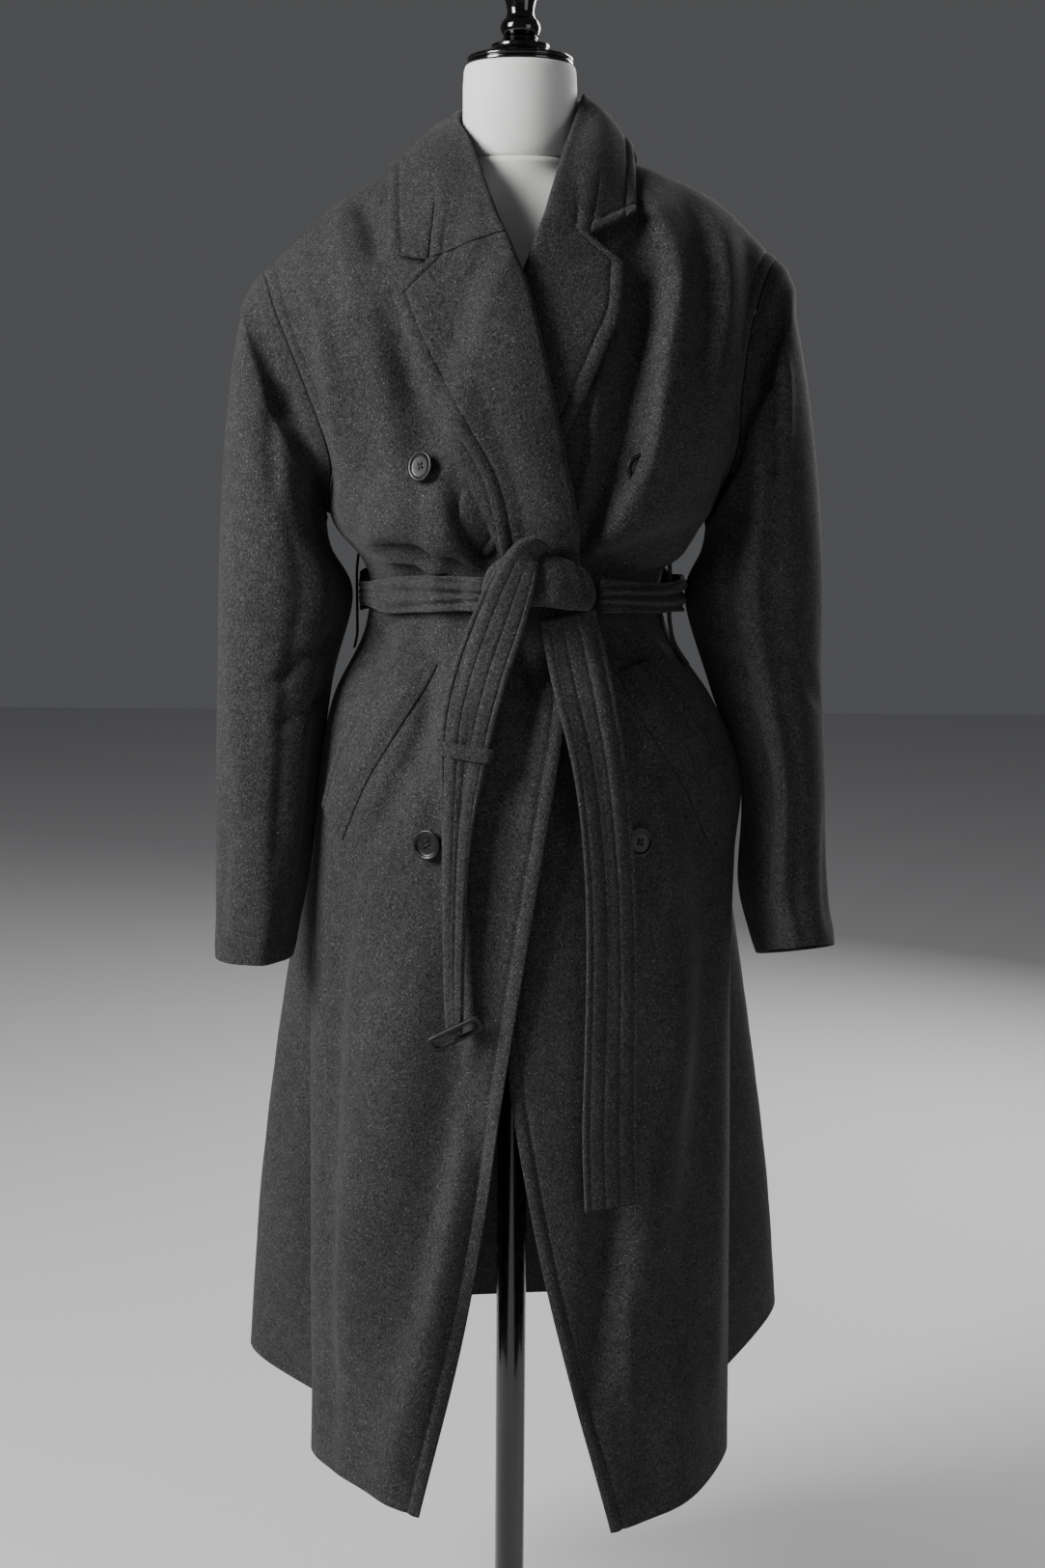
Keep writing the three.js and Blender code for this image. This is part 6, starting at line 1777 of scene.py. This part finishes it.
front_right = cloth_piece("front_right", panel(
    front_point, front_sheet, right_range, right_lift, (armhole_part, below_break), 90))
front_left = cloth_piece("front_left", panel(
    front_point, front_sheet, left_range, no_lift, (below_break, armhole_part), 90))
back = cloth_piece("back", panel(
    back_point, back_sheet, back_range, no_lift, (armhole_part, armhole_part), 108, neck_dip))
*right_faces, right_top = lapel(RIGHT_LAPEL, right_edge, right_lift, 5.5, 1)
*left_faces, left_top = lapel(LEFT_LAPEL, left_edge, no_lift, 0.6, -1)
lapel_right = cloth_piece("lapel_right", right_faces)
lapel_left = cloth_piece("lapel_left", left_faces)
collar_piece = cloth_piece("collar", collar(right_top, left_top))
sleeve_right = cloth_piece("sleeve_right", sleeve(RIGHT_SLEEVE, RIGHT_SLEEVE_CREASES), ring=True)
sleeve_left = cloth_piece("sleeve_left", sleeve(LEFT_SLEEVE, LEFT_SLEEVE_CREASES), ring=True)
belt = cloth_piece("belt_band", belt_band(), material=BELT_WOOL)
tail_buckle = cloth_piece("belt_tail_buckle", strip(
    OVER_THE_KNOT + BUCKLE_TAIL + ROUND_THE_BAR, BUCKLE_TAIL_WALL, 190, sewn_from=30,
    folds=({"in": (0, 30), "out": (150, 200), "across": -0.8, "width": 0.1, "depth": -3.2,
            "lean": 0.9, "step": True},
           {"in": (150, 230), "out": (420, 470), "across": 0.1, "width": 0.16, "depth": -2.2},
           {"in": (160, 220), "out": (300, 380), "across": -0.5, "width": 0.2, "depth": 1.4})),
    material=BELT_WOOL)
tail_free = cloth_piece("belt_tail_free", strip(
    FREE_TAIL, BELT_WALL, 200,
    folds=({"in": (0, 12), "out": (120, 200), "across": -0.82, "width": 0.16, "depth": 2.4},
           {"in": (0, 20), "out": (150, 260), "across": 0.5, "width": 0.22, "depth": 2.0},
           {"in": (60, 120), "out": (360, 460), "across": -0.1, "width": 0.3, "depth": -1.4})),
    material=BELT_WOOL)
keeper_piece = cloth_piece("belt_keeper", keeper(), ring=True, material=BELT_WOOL)
welt_right = cloth_piece("welt_right", welt(WELT_RIGHT, right_lift))
welt_left = cloth_piece("welt_left", welt(WELT_LEFT, no_lift))
loop_right = cloth_piece("belt_loop_right", belt_loop(LOOPS["belt_loop_right"]))
loop_left = cloth_piece("belt_loop_left", belt_loop(LOOPS["belt_loop_left"]))

knot_mesh = solid_mesh("belt_knot", knot())
knot_map = knot_mesh.uv_layers.new(name="thread")
for corner in knot_map.data:
    corner.uv = (0, NO_STITCH)
knot_piece = place("belt_knot_cloth", knot_mesh, BELT_WOOL, "belt_knot")

place("buckle_frame", buckle_mesh("buckle"), BUCKLE_RESIN, "buckle")
for number, (node, button) in enumerate(BUTTONS.items()):
    seat, facing = button_seat(button)
    mesh = button_mesh(node, seat, facing, 0.3 + number * 0.9)
    sewn_on = place(node + "_disc", mesh, BUTTON_HORN, node)
    mesh.materials.append(BUTTON_THREAD)

place("torso_cover", solid_mesh("form_torso", torso_rings()), FORM_CLOTH, "form_torso")
place("neck_cover", turned("form_neck", eased(NECK_PROFILE, 3)), FORM_CLOTH, "form_neck")
place("neck_cap_metal", turned("neck_cap", eased(CAP_PROFILE)), POLISHED_METAL, "neck_cap")
place("finial_metal", turned("finial", eased(FINIAL_PROFILE, 2)), POLISHED_METAL, "finial")
place("pole_tube", turned("pole", eased(POLE_PROFILE)), BLACK_ENAMEL, "pole")
place("base_plate", turned("base", eased(BASE_PROFILE, 1.5), 160), BLACK_ENAMEL, "base")

# ---- floor, light and camera ------------------------------------------------------------------

floor_mesh = bpy.data.meshes.new("floor")
FLOOR_HALF = 9.0
floor_mesh.from_pydata([(-FLOOR_HALF, -FLOOR_HALF, 0), (FLOOR_HALF, -FLOOR_HALF, 0),
                        (FLOOR_HALF, FLOOR_HALF, 0), (-FLOOR_HALF, FLOOR_HALF, 0)], [],
                       [(0, 1, 2, 3)])
floor = bpy.data.objects.new("floor", floor_mesh)
bpy.context.scene.collection.objects.link(floor)
floor_paint, _, floor_shader = start_material("pale floor", Roughness=0.85)
floor_shader.inputs["Base Color"].default_value = (0.62, 0.62, 0.63, 1)
floor_mesh.materials.append(floor_paint)

world = bpy.data.worlds.new("studio")
world.use_nodes = True
world.node_tree.nodes["Background"].inputs["Color"].default_value = (0.62, 0.63, 0.65, 1)
world.node_tree.nodes["Background"].inputs["Strength"].default_value = 0.13
bpy.context.scene.world = world


def soft_light(name, at, aim, size, power):
    data = bpy.data.lights.new(name, "AREA")
    data.shape = "RECTANGLE"
    data.size, data.size_y = size
    data.energy = power
    light = bpy.data.objects.new(name, data)
    bpy.context.scene.collection.objects.link(light)
    light.location = at
    light.rotation_mode = "QUATERNION"
    light.rotation_quaternion = (Vector(aim) - Vector(at)).to_track_quat("-Z", "Y")
    return light


soft_light("window light", (-2.6, -1.4, 2.6), (0, 0, 1.15), (1.2, 1.8), 205)
soft_light("side fill", (2.4, -2.2, 1.4), (0, 0, 1.0), (1.4, 2.0), 12)
soft_light("back light", (1.5, 2.4, 2.2), (0, 0, 1.1), (1.6, 1.8), 85)

camera_data = bpy.data.cameras.new("camera")
camera_data.sensor_fit = "VERTICAL"
camera_data.sensor_height = 36
camera_data.sensor_width = 36
camera_data.lens = 50.58
camera = bpy.data.objects.new("camera", camera_data)
bpy.context.scene.collection.objects.link(camera)
camera.location = (0.0077, -2.2, 1.328)
CAMERA_DOWN = math.radians(8.655)
CAMERA_ROLL = math.radians(0.45)
look = Vector((0, math.cos(CAMERA_DOWN), -math.sin(CAMERA_DOWN)))
camera.rotation_mode = "QUATERNION"
camera.rotation_quaternion = look.to_track_quat("-Z", "Y") @ Quaternion((0, 0, 1), CAMERA_ROLL)
bpy.context.scene.camera = camera
